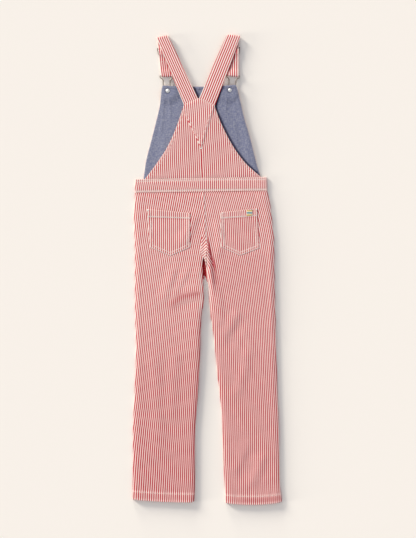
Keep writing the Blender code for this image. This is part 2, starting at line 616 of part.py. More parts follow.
def turned_piece(name, profile, centre, look, steps=20):
    """Round piece from its profile of (radius, height), which starts and ends on the axis."""
    shape = bmesh.new()
    points = [shape.verts.new((radius, 0.0, height)) for radius, height in profile]
    lines = [shape.edges.new(pair) for pair in zip(points, points[1:])]
    bmesh.ops.spin(
        shape, geom=points + lines, cent=(0, 0, 0), axis=(0, 0, 1), angle=math.tau, steps=steps, use_merge=True
    )
    bmesh.ops.remove_doubles(shape, verts=shape.verts, dist=1e-6)
    piece = place_bmesh(name, shape, look)
    piece.location = (*centre, 0.0)
    piece.data.shade_smooth()
    piece.data.set_sharp_from_angle(angle=math.radians(40))


def fastening(side):
    """Tack button under the bib's corner, and its back on the lining."""
    centre = STRAPS[side]["button"]
    rim = BUTTON_RADIUS
    shank_top = BIB_LIFT - SEAM
    button = [
        (0.0, 0.0003), (rim * 0.62, 0.0003), (rim * 0.74, 0.0), (rim * 0.92, 0.0001), (rim, 0.0008),
        (rim * 0.95, 0.0014), (SHANK_RADIUS, 0.0016), (SHANK_RADIUS, shank_top), (0.0, shank_top),
    ]
    turned_piece("button_" + side, button, centre, NICKEL)
    base = BIB_LIFT + BIB_WALL + LINING_WALL + 2 * SEAM
    rivet = [
        (0.0, base), (RIVET_RADIUS, base), (RIVET_RADIUS, base + 0.0004), (RIVET_RADIUS * 0.75, base + 0.0009),
        (RIVET_RADIUS * 0.4, base + RIVET_RISE), (0.0, base + RIVET_RISE),
    ]
    turned_piece("rivet_" + side, rivet, centre, NICKEL, steps=16)


clear_scene()
build_legs()
waistband("waistband_front", back=False)
waistband("waistband_back", back=True)
front_bib()
back_bib()
for wearers_side in STRAPS:
    slider(wearers_side, *strap(wearers_side))
    clip(wearers_side)
    fastening(wearers_side)
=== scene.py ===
"""Child's striped dungarees, laid flat on their front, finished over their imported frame.

Metres, in the frame's own axes: +Y to the shoulder straps, +X to the right, +Z up from the card they lie on.
"""

import math

import bpy
import numpy as np
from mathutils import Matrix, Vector
from mathutils.bvhtree import BVHTree


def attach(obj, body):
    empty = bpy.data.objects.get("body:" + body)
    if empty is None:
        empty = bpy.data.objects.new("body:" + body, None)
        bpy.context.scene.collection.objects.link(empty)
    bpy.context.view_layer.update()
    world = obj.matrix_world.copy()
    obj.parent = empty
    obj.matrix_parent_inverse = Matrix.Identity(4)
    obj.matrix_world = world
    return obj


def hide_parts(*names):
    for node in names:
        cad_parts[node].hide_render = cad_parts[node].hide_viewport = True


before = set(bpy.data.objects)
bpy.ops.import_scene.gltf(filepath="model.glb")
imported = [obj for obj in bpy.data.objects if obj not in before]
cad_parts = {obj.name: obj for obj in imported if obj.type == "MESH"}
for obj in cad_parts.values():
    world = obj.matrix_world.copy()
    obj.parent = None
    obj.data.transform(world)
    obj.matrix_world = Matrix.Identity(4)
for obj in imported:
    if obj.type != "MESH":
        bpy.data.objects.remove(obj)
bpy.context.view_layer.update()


# --------------------------------------------------------------------------------------------------
# The card, the camera and the lamps
# Cream card lies under the garment, and a long lens looks straight down on it. Soft lamps stand low round
# its upper left: one lights the cloth and three light the card. Pale walls all round fill the shadows.

PICTURE = (416, 538)  # width and height in points
POINT = 0.0023  # metres of card in one point
AIM = (0.0023, 0.0016)  # plan point under the lens
LENS_HEIGHT = 4.5
SENSOR = 24.0  # mm
CARD_HALF, CARD_DROP = 4.0, 0.0002
CARD_TONE = (0.930, 0.870, 0.807)
WALL_TONE = (0.966, 0.995, 1.075)
LAMP_TONE = (1.034, 0.994, 0.895)
WALL_LIGHT = 0.530
FIBRE = 900.0  # specks in a metre of card
LAMPS = {  # degrees from +X, degrees above the card, degrees it spans, light, and whether the card is lit
    "cloth_lamp": (136.0, 29.0, 26.0, 3.10, False),
    "card_lamp": (138.0, 12.0, 13.0, 4.46, True),
    "left_card_lamp": (188.0, 6.5, 11.0, 2.36, True),
    "top_card_lamp": (105.0, 7.0, 13.0, 2.68, True),
}


def node(tree, kind, inputs=(), **settings):
    """New shader node with these settings. Inputs map a socket to a value or to another node's output."""
    made = tree.nodes.new(kind)
    for name, value in settings.items():
        setattr(made, name, value)
    for socket, value in dict(inputs).items():
        if isinstance(value, bpy.types.NodeSocket):
            tree.links.new(value, made.inputs[socket])
        else:
            made.inputs[socket].default_value = value
    return made


def blank_material(name):
    """New material and its empty tree."""
    material = bpy.data.materials.new(name)
    material.use_nodes = True
    material.node_tree.nodes.clear()
    return material, material.node_tree


def relief(tree, height, strength, distance):
    """Normal of a surface whose height stands out this far, in metres."""
    sockets = {"Height": height, "Strength": strength, "Distance": distance}
    return node(tree, "ShaderNodeBump", sockets).outputs["Normal"]


def surface(tree, inputs):
    """Ends a material in its Principled shader, with these inputs."""
    shader = node(tree, "ShaderNodeBsdfPrincipled", inputs)
    node(tree, "ShaderNodeOutputMaterial", {"Surface": shader.outputs["BSDF"]})


def placed(name, data):
    """New object of this mesh, curve, lamp or camera, in the scene."""
    made = bpy.data.objects.new(name, data)
    bpy.context.scene.collection.objects.link(made)
    return made


lens = bpy.data.cameras.new("camera")
lens.sensor_fit = "VERTICAL"
lens.sensor_height = SENSOR
lens.lens = SENSOR * LENS_HEIGHT / (PICTURE[1] * POINT)
camera = placed("camera", lens)
camera.location = (*AIM, LENS_HEIGHT)
bpy.context.scene.camera = camera
bpy.context.scene.view_settings.view_transform = "Standard"

card_mesh = bpy.data.meshes.new("card")
ways = [(-1, -1), (1, -1), (1, 1), (-1, 1)]
card_mesh.from_pydata([(CARD_HALF * x, CARD_HALF * y, -CARD_DROP) for x, y in ways], [], [(0, 1, 2, 3)])
card = placed("card", card_mesh)
card_stock, tree = blank_material("cream_card")
fibre = node(tree, "ShaderNodeTexNoise", {"Scale": FIBRE, "Detail": 3.0}).outputs["Fac"]
paper = {"Base Color": (*CARD_TONE, 1.0), "Roughness": 0.9, "Specular IOR Level": 0.2}
surface(tree, {**paper, "Normal": relief(tree, fibre, 0.15, 0.0002)})
card_mesh.materials.append(card_stock)
world = bpy.data.worlds.new("pale_walls")
world.use_nodes = True
world.node_tree.nodes["Background"].inputs["Color"].default_value = (*WALL_TONE, 1.0)
world.node_tree.nodes["Background"].inputs["Strength"].default_value = WALL_LIGHT
bpy.context.scene.world = world

for name, (turn, tilt, spread, light, on_card) in LAMPS.items():
    lamp_data = bpy.data.lights.new(name, "SUN")
    lamp_data.angle = math.radians(spread)
    lamp_data.energy = light
    lamp_data.color = LAMP_TONE
    lamp = placed(name, lamp_data)
    turn, tilt = math.radians(turn), math.radians(tilt)
    away = Vector((math.cos(tilt) * math.cos(turn), math.cos(tilt) * math.sin(turn), math.sin(tilt)))
    lamp.location = 3 * away
    lamp.rotation_euler = away.to_track_quat("Z", "Y").to_euler()
    lit = bpy.data.collections.new(name + "_lights")
    lit.objects.link(card)
    lit.collection_objects[0].light_linking.link_state = "INCLUDE" if on_card else "EXCLUDE"
    lamp.light_linking.receiver_collection = lit


# --------------------------------------------------------------------------------------------------
# Front legs
# The two lower panels of the trousers, cut in yarn-dyed cotton twill with narrow red and cream stripes and
# joined at the centre front. They lie face down on the card, and only their insides show, in the fork and
# at the hems.

SEAM = 0.0003
LEG_WALL = 0.0012
LEG_EDGE = 0.0030  # height of the back of a leg beside its side seams
ROLL = 0.0015  # radius of a turned edge
HEM = 0.020
STRIPE_PITCH = 0.0050  # one red and one cream stripe
RED_SHARE = 0.51
RED = (0.520, 0.014, 0.030)
CREAM = (0.928, 0.757, 0.697)
FADED = (0.86, 0.70, 0.64)
SHADE_AND_DARKENING_TONE = (0.60, 0.16, 0.20)  # colour multiplied in for painted shade in folds, creases and shadows, and where the cloth is painted darker
TWILL_RIB, TWILL_SLANT = 0.0009, 0.8
THREAD = 0.00045
WANDER = 0.0009  # how far a stripe strays to either side

SIDE_LEFT = [
    (0.1762, -0.1651), (0.1235, -0.1679), (0.0407, -0.1656), (-0.0697, -0.1656), (-0.1801, -0.1633),
    (-0.2629, -0.1656), (-0.3733, -0.1702), (-0.4561, -0.1702), (-0.5060, -0.1714), (-0.5283, -0.1725),
]
SIDE_RIGHT = [
    (0.1810, 0.1380), (0.1511, 0.1449), (0.1097, 0.1500), (0.0683, 0.1541), (-0.0145, 0.1553),
    (-0.1249, 0.1580), (-0.2353, 0.1605), (-0.3733, 0.1656), (-0.4900, 0.1680), (-0.5200, 0.1706),
    (-0.5350, 0.1723),
]
INSEAM_LEFT = [
    (-0.0350, -0.0080), (-0.0559, -0.0068), (-0.0760, -0.0075), (-0.0973, -0.0115), (-0.1249, -0.0138),
    (-0.2077, -0.0161), (-0.2905, -0.0207), (-0.3733, -0.0270), (-0.5113, -0.0279), (-0.5345, -0.0300),
]
INSEAM_RIGHT = [
    (-0.0350, 0.0028), (-0.0559, 0.0043), (-0.0973, 0.0069), (-0.1249, 0.0115), (-0.1801, 0.0184),
    (-0.2353, 0.0230), (-0.2905, 0.0299), (-0.3457, 0.0345), (-0.4009, 0.0368), (-0.4561, 0.0385),
    (-0.5113, 0.0414), (-0.5366, 0.0420),
]
CENTRE_FRONT = [(0.1780, -0.0078), (0.0800, -0.0062), (0.0000, -0.0052), (-0.0120, -0.0050)]
FRONT_ROLL = (-0.0120, -0.0350)
BAND_LOWER = [(-0.1651, 0.1762), (-0.0078, 0.1780), (0.1380, 0.1810)]
HEM_BOW = {"left": 0.0020, "right": 0.0045}
HEM_CORNER = 0.0040  # radius of the hem's corners
# Heights above the hem's edge of the last rows of a leg's mesh, which lie close at its stitching and its fold
HEM_ROWS = (0.0215, 0.0205, 0.0195, 0.0185, 0.017, 0.014, 0.011, 0.008, 0.005, 0.0025, 0.0012, 0.0005, 0.0)


def ease(amount):
    """0 below 0, 1 above 1, and a smooth step between."""
    amount = np.clip(amount, 0.0, 1.0)
    return amount * amount * (3.0 - 2.0 * amount)


def smooth(rows, at):
    """Value at a key, on a smooth curve through rows of (key, value) that never swings past them."""
    key, value = np.array(sorted(rows)).T
    span = np.diff(key)
    chord = np.diff(value) / span
    one_way = chord[:-1] * chord[1:] > 0
    before, after = np.where(one_way, chord[:-1], 1.0), np.where(one_way, chord[1:], 1.0)
    weight, other = 2 * span[1:] + span[:-1], span[1:] + 2 * span[:-1]
    bend = np.where(one_way, (weight + other) / (weight / before + other / after), 0.0)
    slope = np.concatenate([chord[:1], bend, chord[-1:]])
    i = np.clip(np.searchsorted(key, at) - 1, 0, len(key) - 2)
    step = key[i + 1] - key[i]
    t = (at - key[i]) / step
    rise = value[i] * (1 + 2 * t) * (1 - t) ** 2 + value[i + 1] * t * t * (3 - 2 * t)
    return rise + step * (slope[i] * t * (1 - t) ** 2 - slope[i + 1] * t * t * (1 - t))


def edge(rows, parts, shift=0.0):
    """Plan points on an outline, at these fractions of its height from the first row to the last."""
    y = rows[0][0] + (rows[-1][0] - rows[0][0]) * np.asarray(parts)
    return np.stack([smooth(rows, y) + shift, y], axis=1)


def ripple(at, length, seed):
    """Uneven wave from -1 to 1 along a distance, about so long from crest to crest."""
    phase = math.tau * at / length
    longer, shorter = np.sin(0.617 * phase + 2.3 * seed), np.sin(1.731 * phase + 4.1 * seed)
    return 0.5 * np.sin(phase + seed) + 0.3 * longer + 0.2 * shorter


def across_rows(left, right, near, first, columns):
    """Plan grid between two edges, and the distances from both of them to each of its points.

    Its columns lie close near the edges, at the distances in near, and evenly from the first distance on."""
    length = np.linalg.norm(right - left, axis=1)[:, None]
    near = np.broadcast_to(near, (len(length), np.shape(near)[-1]))
    inside = first + (length - 2 * first) * np.linspace(0.0, 1.0, columns)
    along = np.concatenate([near, inside, length - near[:, ::-1]], axis=1)
    return left[:, None] + (right - left)[:, None] * (along / length)[..., None], along, length - along


def turned_rows(left, right, columns):
    """The same grid with its edges turned over, and the share of its height that each column drops there."""
    turned = np.radians([0.0, 18.0, 36.0, 54.0, 72.0])
    share = np.concatenate([1.0 - np.sin(turned), np.zeros(columns + len(turned))])
    return *across_rows(left, right, ROLL * (1.0 - np.cos(turned)), ROLL, columns), share, share[::-1]


def inward(points, left_roll, right_roll, thick, up):
    """The same grid moved in by the cloth's thickness. A rolled edge is vertical where it ends."""
    before = 2 * points[:, 0] - points[:, 1]
    beyond = 2 * points[:, -1] - points[:, -2]
    before[:, :2] += (points[:, 1, :2] - before[:, :2]) * left_roll[:, None]
    beyond[:, :2] += (points[:, -2, :2] - beyond[:, :2]) * right_roll[:, None]
    padded = np.concatenate([before[:, None], points, beyond[:, None]], axis=1)
    across = padded[:, 2:] - padded[:, :-2]
    normal = np.cross(across, np.gradient(points, axis=0))
    normal *= (up * np.sign(normal[..., 2].mean())) / np.linalg.norm(normal, axis=2)[..., None]
    return points - np.asarray(thick)[..., None] * normal


def new_piece(name, points, faces, material, crease):
    """New piece, smooth all over except where it turns by more than the crease, in degrees."""
    mesh = bpy.data.meshes.new(name)
    mesh.from_pydata(points, [], faces)
    mesh.shade_smooth()
    mesh.set_sharp_from_angle(angle=math.radians(crease))
    mesh.materials.append(material)
    return placed(name, mesh)


def cloth(name, outer, inner, grain, material):
    """Closed wall between two grids of points. Its grain: across its stripes, along them, and its wear and
    painted light, paler above 0 and darker below 0.
    """
    corner = np.arange(outer[..., 0].size).reshape(outer.shape[:2])
    face = np.stack([corner[:-1, :-1], corner[:-1, 1:], corner[1:, 1:], corner[1:, :-1]], axis=-1)
    face = face.reshape(-1, 4)
    rim = np.concatenate([corner[0, :-1], corner[:-1, -1], corner[-1, :0:-1], corner[:0:-1, 0]])
    after = np.roll(rim, -1)
    under = corner.size
    sides = np.stack([after, rim, rim + under, after + under], axis=1)
    points = np.concatenate([outer.reshape(-1, 3), inner.reshape(-1, 3)])
    faces = np.concatenate([face, face[:, ::-1] + under, sides])
    a, b, c, d = (points[faces[:, k]] for k in range(4))
    volume = (a * np.cross(b, c)).sum() + (a * np.cross(c, d)).sum()
    if volume < 0:
        faces = faces[:, ::-1]
    piece = new_piece(name, points.tolist(), faces.tolist(), material, 55)
    piece.data.attributes.new("cloth", "FLOAT_VECTOR", "POINT")
    both_faces = np.tile(np.dstack(np.broadcast_arrays(*grain)).ravel(), 2)
    piece.data.attributes["cloth"].data.foreach_set("vector", both_faces.astype(np.float32))
    return piece


def fasten(piece, slot, *cad_nodes):
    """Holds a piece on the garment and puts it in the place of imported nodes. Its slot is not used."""
    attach(piece, "root")
    if cad_nodes:
        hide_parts(*cad_nodes)


def lay(piece, cad_node, slot, plan, threads=()):
    """Puts a cloth piece in its node's place. It works out the size of the plan that it covers, but nothing
    uses it.
    """
    fasten(piece, slot, cad_node)
    width, length = (float(side) for side in np.ptp(plan.reshape(-1, plan.shape[-1])[:, :2], axis=0))
    flat, threads = (width, length), list(threads)


def new_group(name, inputs, outputs):
    """Empty shader group, its tree, and the nodes that stand for its inputs and outputs."""
    tree = bpy.data.node_groups.new(name, "ShaderNodeTree")
    for direction, sockets in (("INPUT", inputs), ("OUTPUT", outputs)):
        for socket, kind in sockets.items():
            tree.interface.new_socket(socket, in_out=direction, socket_type="NodeSocket" + kind)
    return tree, tree.nodes.new("NodeGroupInput").outputs, tree.nodes.new("NodeGroupOutput").inputs


def grouped(tree, group, inputs):
    """Outputs of a shader group placed in a material."""
    return node(tree, "ShaderNodeGroup", inputs, node_tree=group).outputs


def math_of(tree, operation, *values):
    """Output of a Math node."""
    return node(tree, "ShaderNodeMath", dict(enumerate(values)), operation=operation).outputs[0]


def plus(tree, first, second):
    """Sum of two values."""
    return math_of(tree, "ADD", first, second)


def minus(tree, first, second):
    """First value less the second."""
    return math_of(tree, "SUBTRACT", first, second)


def times(tree, first, second):
    """Product of two values."""
    return math_of(tree, "MULTIPLY", first, second)


def repeated(tree, distance, pitch):
    """Wave that is 0 at each whole pitch along a distance, and 0.5 half way between."""
    return math_of(tree, "PINGPONG", math_of(tree, "DIVIDE", distance, pitch), 0.5)


def mixed(tree, share, first, second, blend="MIX"):
    """Colour between two colours."""
    sockets = {0: share, 6: first, 7: second}
    return node(tree, "ShaderNodeMix", sockets, data_type="RGBA", blend_type=blend).outputs[2]


def stepped(tree, value, low, high):
    """Smooth step from 0 at low to 1 at high. High may be below low."""
    sockets = {"Value": value, "From Min": low, "From Max": high}
    return node(tree, "ShaderNodeMapRange", sockets, interpolation_type="SMOOTHSTEP").outputs["Result"]


def cloth_grain(tree):
    """The three parts of a cloth's grain: across its stripes, along them, and its wear and painted light."""
    grain = node(tree, "ShaderNodeAttribute", attribute_name="cloth")
    return node(tree, "ShaderNodeSeparateXYZ", {"Vector": grain.outputs["Vector"]}).outputs


def noise(tree, scale, detail=2.0, where=None):
    """Cloudy noise, in waves per metre."""
    if where is None:
        where = node(tree, "ShaderNodeTexCoord").outputs["Object"]
    sockets = {"Vector": where, "Scale": scale, "Detail": detail}
    return node(tree, "ShaderNodeTexNoise", sockets).outputs["Fac"]


def noise_on(tree, across, along, detail=2.0):
    """Noise over a cloth, with its two scales in waves per metre."""
    parts = cloth_grain(tree)
    spot = {0: times(tree, parts[0], across), 1: times(tree, parts[1], along)}
    return noise(tree, 1.0, detail, node(tree, "ShaderNodeCombineXYZ", spot).outputs[0])


# Stripes that stray a little to either side, in uneven yarn, with the ribs and threads of the twill
stripes, given, put = new_group(
    "yarn_dyed_stripes",
    {"Red": "Color", "Cream": "Color", "Pitch": "Float", "Red Share": "Float", "Softness": "Float"},
    {"Color": "Color", "Height": "Float"},
)
parts = cloth_grain(stripes)
strayed = times(stripes, minus(stripes, noise_on(stripes, 12.0, 16.0), 0.5), 2 * WANDER)
across_grain = plus(stripes, parts[0], strayed)
from_middle = repeated(stripes, across_grain, given["Pitch"])
border, softness = times(stripes, given["Red Share"], 0.5), given["Softness"]
is_red = stepped(stripes, from_middle, plus(stripes, border, softness), minus(stripes, border, softness))
yarn = mixed(stripes, is_red, given["Cream"], given["Red"])
slub = noise_on(stripes, 1100.0, 45.0, 1.0)
uneven = {"Value": slub, "From Min": 0.25, "From Max": 0.75, "To Min": 0.90, "To Max": 1.08}
bright = node(stripes, "ShaderNodeMapRange", uneven).outputs["Result"]
brighter = node(stripes, "ShaderNodeCombineColor", {k: bright for k in range(3)}).outputs["Color"]
stripes.links.new(mixed(stripes, 1.0, yarn, brighter, "MULTIPLY"), put["Color"])
twill_run = plus(stripes, across_grain, times(stripes, parts[1], TWILL_SLANT))
twill_rib = times(stripes, repeated(stripes, twill_run, TWILL_RIB), 1.4)
raised = plus(stripes, repeated(stripes, across_grain, THREAD), plus(stripes, twill_rib, slub))
stripes.links.new(raised, put["Height"])

# Cloth that is paler where its wear and painted light is above 0, from fading and in one place a painted
# highlight, and darker where that is below 0, from painted shade and painted darkening
faded_and_shaded, given, put = new_group(
    "laundered_cloth",
    {"Color": "Color", "Faded": "Color", "Shade And Darkening": "Color", "Amount": "Float"},
    {"Color": "Color"},
)
parts = cloth_grain(faded_and_shaded)
clouds, flecks = noise_on(faded_and_shaded, 14.0, 9.0, 3.0), noise_on(faded_and_shaded, 150.0, 90.0)
clouded = plus(faded_and_shaded, clouds, times(faded_and_shaded, flecks, 0.5))
patchy = times(faded_and_shaded, minus(faded_and_shaded, clouded, 0.62), 0.5)
wear_and_highlight = math_of(faded_and_shaded, "MAXIMUM", plus(faded_and_shaded, parts[2], patchy), 0.0)
paler = mixed(faded_and_shaded, times(faded_and_shaded, wear_and_highlight, given["Amount"]), given["Color"], given["Faded"])
kept = math_of(faded_and_shaded, "MAXIMUM", times(faded_and_shaded, parts[2], -1.0), 0.0)
darkened = mixed(faded_and_shaded, 1.0, paler, given["Shade And Darkening"], "MULTIPLY")
faded_and_shaded.links.new(mixed(faded_and_shaded, kept, paler, darkened), put["Color"])


def cotton_surface(tree, woven, faded, shade_and_darkening, fading, depth, dryness, sheen):
    """Fades a weave and paints shade into it, raises its threads, and ends it in a dry cotton surface."""
    colours = {"Color": woven["Color"], "Faded": (*faded, 1.0), "Shade And Darkening": (*shade_and_darkening, 1.0), "Amount": fading}
    washed = grouped(tree, faded_and_shaded, colours)
    surface(
        tree,
        {
            "Base Color": washed["Color"], "Roughness": dryness, "Specular IOR Level": 0.25,
            "Sheen Weight": sheen, "Sheen Roughness": 0.5, "Normal": relief(tree, woven["Height"], *depth),
        },
    )


def striped_cotton(name, red=RED, cream=CREAM, red_share=RED_SHARE):
    """Yarn-dyed twill for one kind of panel."""
    material, tree = blank_material(name)
    dyes = {"Red": (*red, 1.0), "Cream": (*cream, 1.0)}
    woven = grouped(tree, stripes, {**dyes, "Pitch": STRIPE_PITCH, "Red Share": red_share, "Softness": 0.07})
    cotton_surface(tree, woven, FADED, SHADE_AND_DARKENING_TONE, 0.30, (0.35, 0.00012), 0.86, 0.12)
    return material


leg_cotton = striped_cotton("leg_cotton")


def leg_parts(rows, length):
    """Fractions of a leg's length for the rows of its mesh, even down to the hem."""
    down_to_hem = np.linspace(0.0, 1.0 - (HEM + 0.004) / length, rows)
    return np.concatenate([down_to_hem, 1.0 - np.array(HEM_ROWS) / length])


def rolled(roll, height):
    """How far an edge has rolled over at a height, from 0 to 1. It has all along where no roll is named."""
    return np.ones(len(height)) if roll is None else ease((roll[0] - height) / (roll[0] - roll[1]))


def leg_plan(side, sides, rolls, parts, columns):
    """Plan grid of a leg panel with its distances from both edges and its share of their rolls."""
    left = edge(sides[0], parts, SEAM / 2 * (rolls[0] is not None))
    right = edge(sides[1], parts, -SEAM / 2 * (rolls[1] is not None))
    from_end = (1.0 - parts) * (sides[0][0][0] - sides[0][-1][0])
    into_corner = np.clip(1.0 - from_end / HEM_CORNER, 0.0, 0.98)
    rounding = HEM_CORNER * (1.0 - np.sqrt(1.0 - into_corner**2))
    left[:, 0] += rounding
    right[:, 0] -= rounding
    plan, from_left, from_right, left_share, right_share = turned_rows(left, right, columns)
    fraction = from_left / (from_left + from_right)
    plan[..., 1] -= HEM_BOW[side] * 4 * fraction * (1 - fraction) * ease((parts - 0.85) / 0.15)[:, None]
    plan[0, :, 1] = smooth(BAND_LOWER, plan[0, :, 0]) - SEAM / 2
    left_roll, right_roll = rolled(rolls[0], left[:, 1]), rolled(rolls[1], right[:, 1])
    drop = left_roll[:, None] * left_share + right_roll[:, None] * right_share
    return plan, from_left, from_right, left_roll, right_roll, drop


FRONT_LEGS = {
    "left": ((SIDE_LEFT, CENTRE_FRONT + INSEAM_LEFT), (None, FRONT_ROLL)),
    "right": ((CENTRE_FRONT + INSEAM_RIGHT, SIDE_RIGHT), (FRONT_ROLL, None)),
}
FORK_TOP, FORK_BOTTOM = 0.036, -0.022  # where the inside of the front legs shows between the back legs
FRONT_ROWS, FRONT_COLUMNS = 120, 45  # of a front leg's mesh

for side, (sides, rolls) in FRONT_LEGS.items():
    parts = leg_parts(FRONT_ROWS, sides[0][0][0] - sides[0][-1][0])
    plan, from_left, from_right, left_roll, right_roll, drop = leg_plan(
        side, sides, rolls, parts, FRONT_COLUMNS
    )
    x, y = plan[..., 0], plan[..., 1]
    outer = np.dstack([x, y, (LEG_EDGE / 2 - SEAM / 2) * drop])
    inner = inward(outer, left_roll, right_roll, np.full(x.shape, LEG_WALL), -1.0)
    # Where the inside shows in the fork its stripes lie as ribs, and it is darkened with painted shade
    in_fork = ease((FORK_TOP - y) / 0.01) * ease((y - FORK_BOTTOM) / 0.01) * ease((0.035 - np.abs(x)) / 0.02)
    ribs = 0.0012 * ripple(x + 0.8 * y, 0.0046, 1.0)
    across = x * (1.0 - in_fork) + ribs * in_fork
    panel = cloth("front_panel_" + side, outer, inner, (across, y, -in_fork), leg_cotton)
    lay(panel, "front_leg_" + side, "striped_cotton", plan)


# --------------------------------------------------------------------------------------------------
# Back legs
# The seat and the backs of the legs, in the same twill, joined at the centre back with a flat-felled seam.
# Sewn to the front legs at the sides and inseams, hemmed twice, and laid over the front legs, with the
# creases of wear, and painted shade along some of them.

LOFT = 0.0019  # how much higher than its edges the middle of a leg lies
LOFT_REACH = 0.010  # how far in from a turned edge that is reached
EDGE_PLUMP = 0.0015  # how far the cloth stands up just inside a turned edge
LEG_DARKENING = {  # height on a leg, and how much darker it is painted there than the seat
    "left": [
        (0.190, 0.0), (-0.060, 0.0), (-0.127, 0.04), (-0.173, 0.09), (-0.219, 0.15), (-0.265, 0.19),
        (-0.357, 0.20), (-0.450, 0.24), (-0.560, 0.25),
    ],
    "right": [
        (0.190, 0.0), (0.060, 0.0), (0.020, 0.09), (-0.150, 0.11), (-0.220, 0.15), (-0.300, 0.18),
        (-0.560, 0.18),
    ],
}
HEM_STEP = 0.0004  # how far the turned hem stands above the leg
HEM_ROW = HEM - 0.0015  # of stitching, up from the edge
INSEAM_BULK, INSEAM_SPREAD = 0.0024, 0.030  # how much the left inseam's layers hold it up, and how far in
# Height on a leg, how far its stripes run aside for each metre up, and how close they lie at its two sides
STRIPE_RUN = {
    "left": [
        (0.190, -0.18, 1.04, 1.00), (0.158, -0.19, 1.05, 1.00), (0.110, -0.18, 1.11, 1.03),
        (0.060, -0.18, 1.15, 1.08), (-0.005, -0.17, 1.17, 1.09), (-0.080, -0.12, 1.20, 1.09),
        (-0.150, -0.105, 1.20, 1.10), (-0.300, -0.085, 1.11, 1.12), (-0.415, -0.065, 0.98, 1.12),
        (-0.480, -0.050, 0.96, 1.09), (-0.560, -0.050, 0.96, 1.09),
    ],
    "right": [
        (0.190, 0.28, 1.12, 1.15), (0.158, 0.28, 1.14, 1.16), (0.110, 0.24, 1.13, 1.14),
        (0.060, 0.21, 1.13, 1.15), (-0.005, 0.18, 1.11, 1.24), (-0.080, 0.13, 1.14, 1.27),
        (-0.150, 0.04, 1.09, 1.26), (-0.300, 0.03, 1.09, 1.18), (-0.415, 0.01, 1.12, 1.12),
        (-0.480, 0.02, 1.18, 1.09), (-0.560, 0.02, 1.18, 1.09),
    ],
}
CHEVRON_START = {"left": 0.08675, "right": -0.07175}  # so that they meet the other stripes in step
LEG_SPAN = {"left": (-0.168, -0.020), "right": (0.010, 0.160)}
PRESSED = 0.0011  # how far the waist seam presses the top of the legs down
# Height in the fork, how far its stripes run aside for each metre up, and how close they lie
CHEVRONS = [
    (0.180, 0.18, 1.04), (0.090, 0.24, 1.04), (0.076, 0.42, 0.95), (0.062, 0.66, 0.80), (0.045, 0.76, 0.72),
    (0.022, 0.70, 0.75), (0.000, 0.25, 0.98), (-0.030, 0.0, 1.10), (-0.090, 0.0, 1.10),
]
# Lines of painted shade along creases: plan points, depth of the shade, and reach to the left and right
SHADED_CREASES = {
    "left": [
        ([(-0.0050, -0.0530), (-0.0330, -0.0560), (-0.0620, -0.0630), (-0.0830, -0.0830), (-0.0960, -0.1040)],
         0.42, 0.0075, 0.0065),
    ],
    "right": [
        ([(0.0005, 0.0760), (0.0035, 0.0620), (0.0055, 0.0470), (0.0096, 0.0315), (0.0140, 0.0177),
          (0.0184, 0.0039), (0.0215, -0.0140)], 1.5, 0.0020, 0.0022),
        ([(0.0110, 0.0200), (0.0160, -0.0050), (0.0200, -0.0300), (0.0220, -0.0560)], 0.32, 0.0050, 0.0070),
    ],
}
CENTRE_BACK = [(0.1780, -0.0078), (0.1400, -0.0050), (0.1010, -0.0032), (0.0683, -0.0022), (0.0480, -0.0015)]
CROTCH_LEFT = [(0.0360, -0.0035), (0.0270, -0.0085), (0.0150, -0.0100), (-0.0100, -0.0094)]
CROTCH_RIGHT = [(0.0360, -0.0012), (0.0189, -0.0026), (0.0000, -0.0020), (-0.0156, -0.0008)]
BACK_ROLL = (0.0340, 0.0050)
BACK_LEGS = {
    "left": ((SIDE_LEFT, CENTRE_BACK + CROTCH_LEFT + INSEAM_LEFT), (None, BACK_ROLL)),
    "right": ((CENTRE_BACK + CROTCH_RIGHT + INSEAM_RIGHT, SIDE_RIGHT), (BACK_ROLL, None)),
}
BACK_ROWS, BACK_COLUMNS = 235, 67  # of a back leg's mesh

# Each fold runs from one plan point to another with a bow to its left, stands up by its height or sinks if
# that is negative, and falls away over one width on its left and another on its right
FOLDS = [
    (-0.0040, -0.0430, -0.0980, -0.0960, -0.009, 0.0015, 0.024, 0.034),
    (-0.0207, 0.1465, -0.0667, 0.0407, 0.004, 0.0020, 0.018, 0.026),
    (-0.0713, 0.0177, -0.1081, -0.0835, 0.003, 0.0020, 0.016, 0.022),
    (-0.0320, 0.0250, -0.0860, -0.0700, 0.003, 0.0012, 0.012, 0.018),
    (-0.1265, -0.1387, -0.1127, -0.4607, 0.006, 0.0014, 0.024, 0.026),
    (-0.0667, -0.1617, -0.0805, -0.3687, -0.005, 0.0013, 0.022, 0.024),
    (-0.0010, 0.0800, 0.0170, -0.0600, -0.003, 0.0044, 0.009, 0.009),
    (0.0210, -0.0300, 0.0330, -0.1500, 0.002, 0.0014, 0.014, 0.020),
    (0.0760, -0.0820, 0.0260, -0.1660, 0.004, 0.0016, 0.018, 0.020),
    (0.0920, -0.0980, 0.0400, -0.1880, 0.003, -0.0010, 0.021, 0.018),
    (0.1000, -0.1480, 0.0560, -0.3110, 0.008, 0.0015, 0.020, 0.020),
    (0.0950, -0.3830, 0.0520, -0.4800, 0.004, 0.0008, 0.015, 0.020),
    (0.1130, -0.3920, 0.0670, -0.4980, 0.004, -0.0009, 0.017, 0.017),
    (0.1360, -0.4050, 0.0920, -0.5080, 0.004, 0.0017, 0.020, 0.016),
    (0.0200, 0.1300, 0.0290, 0.0180, 0.002, 0.0017, 0.018, 0.013),
    (0.1480, 0.1350, 0.1500, -0.1700, -0.002, 0.0010, 0.012, 0.008),
    (-0.1600, 0.1500, -0.1580, -0.2800, 0.001, 0.0008, 0.008, 0.012),
]


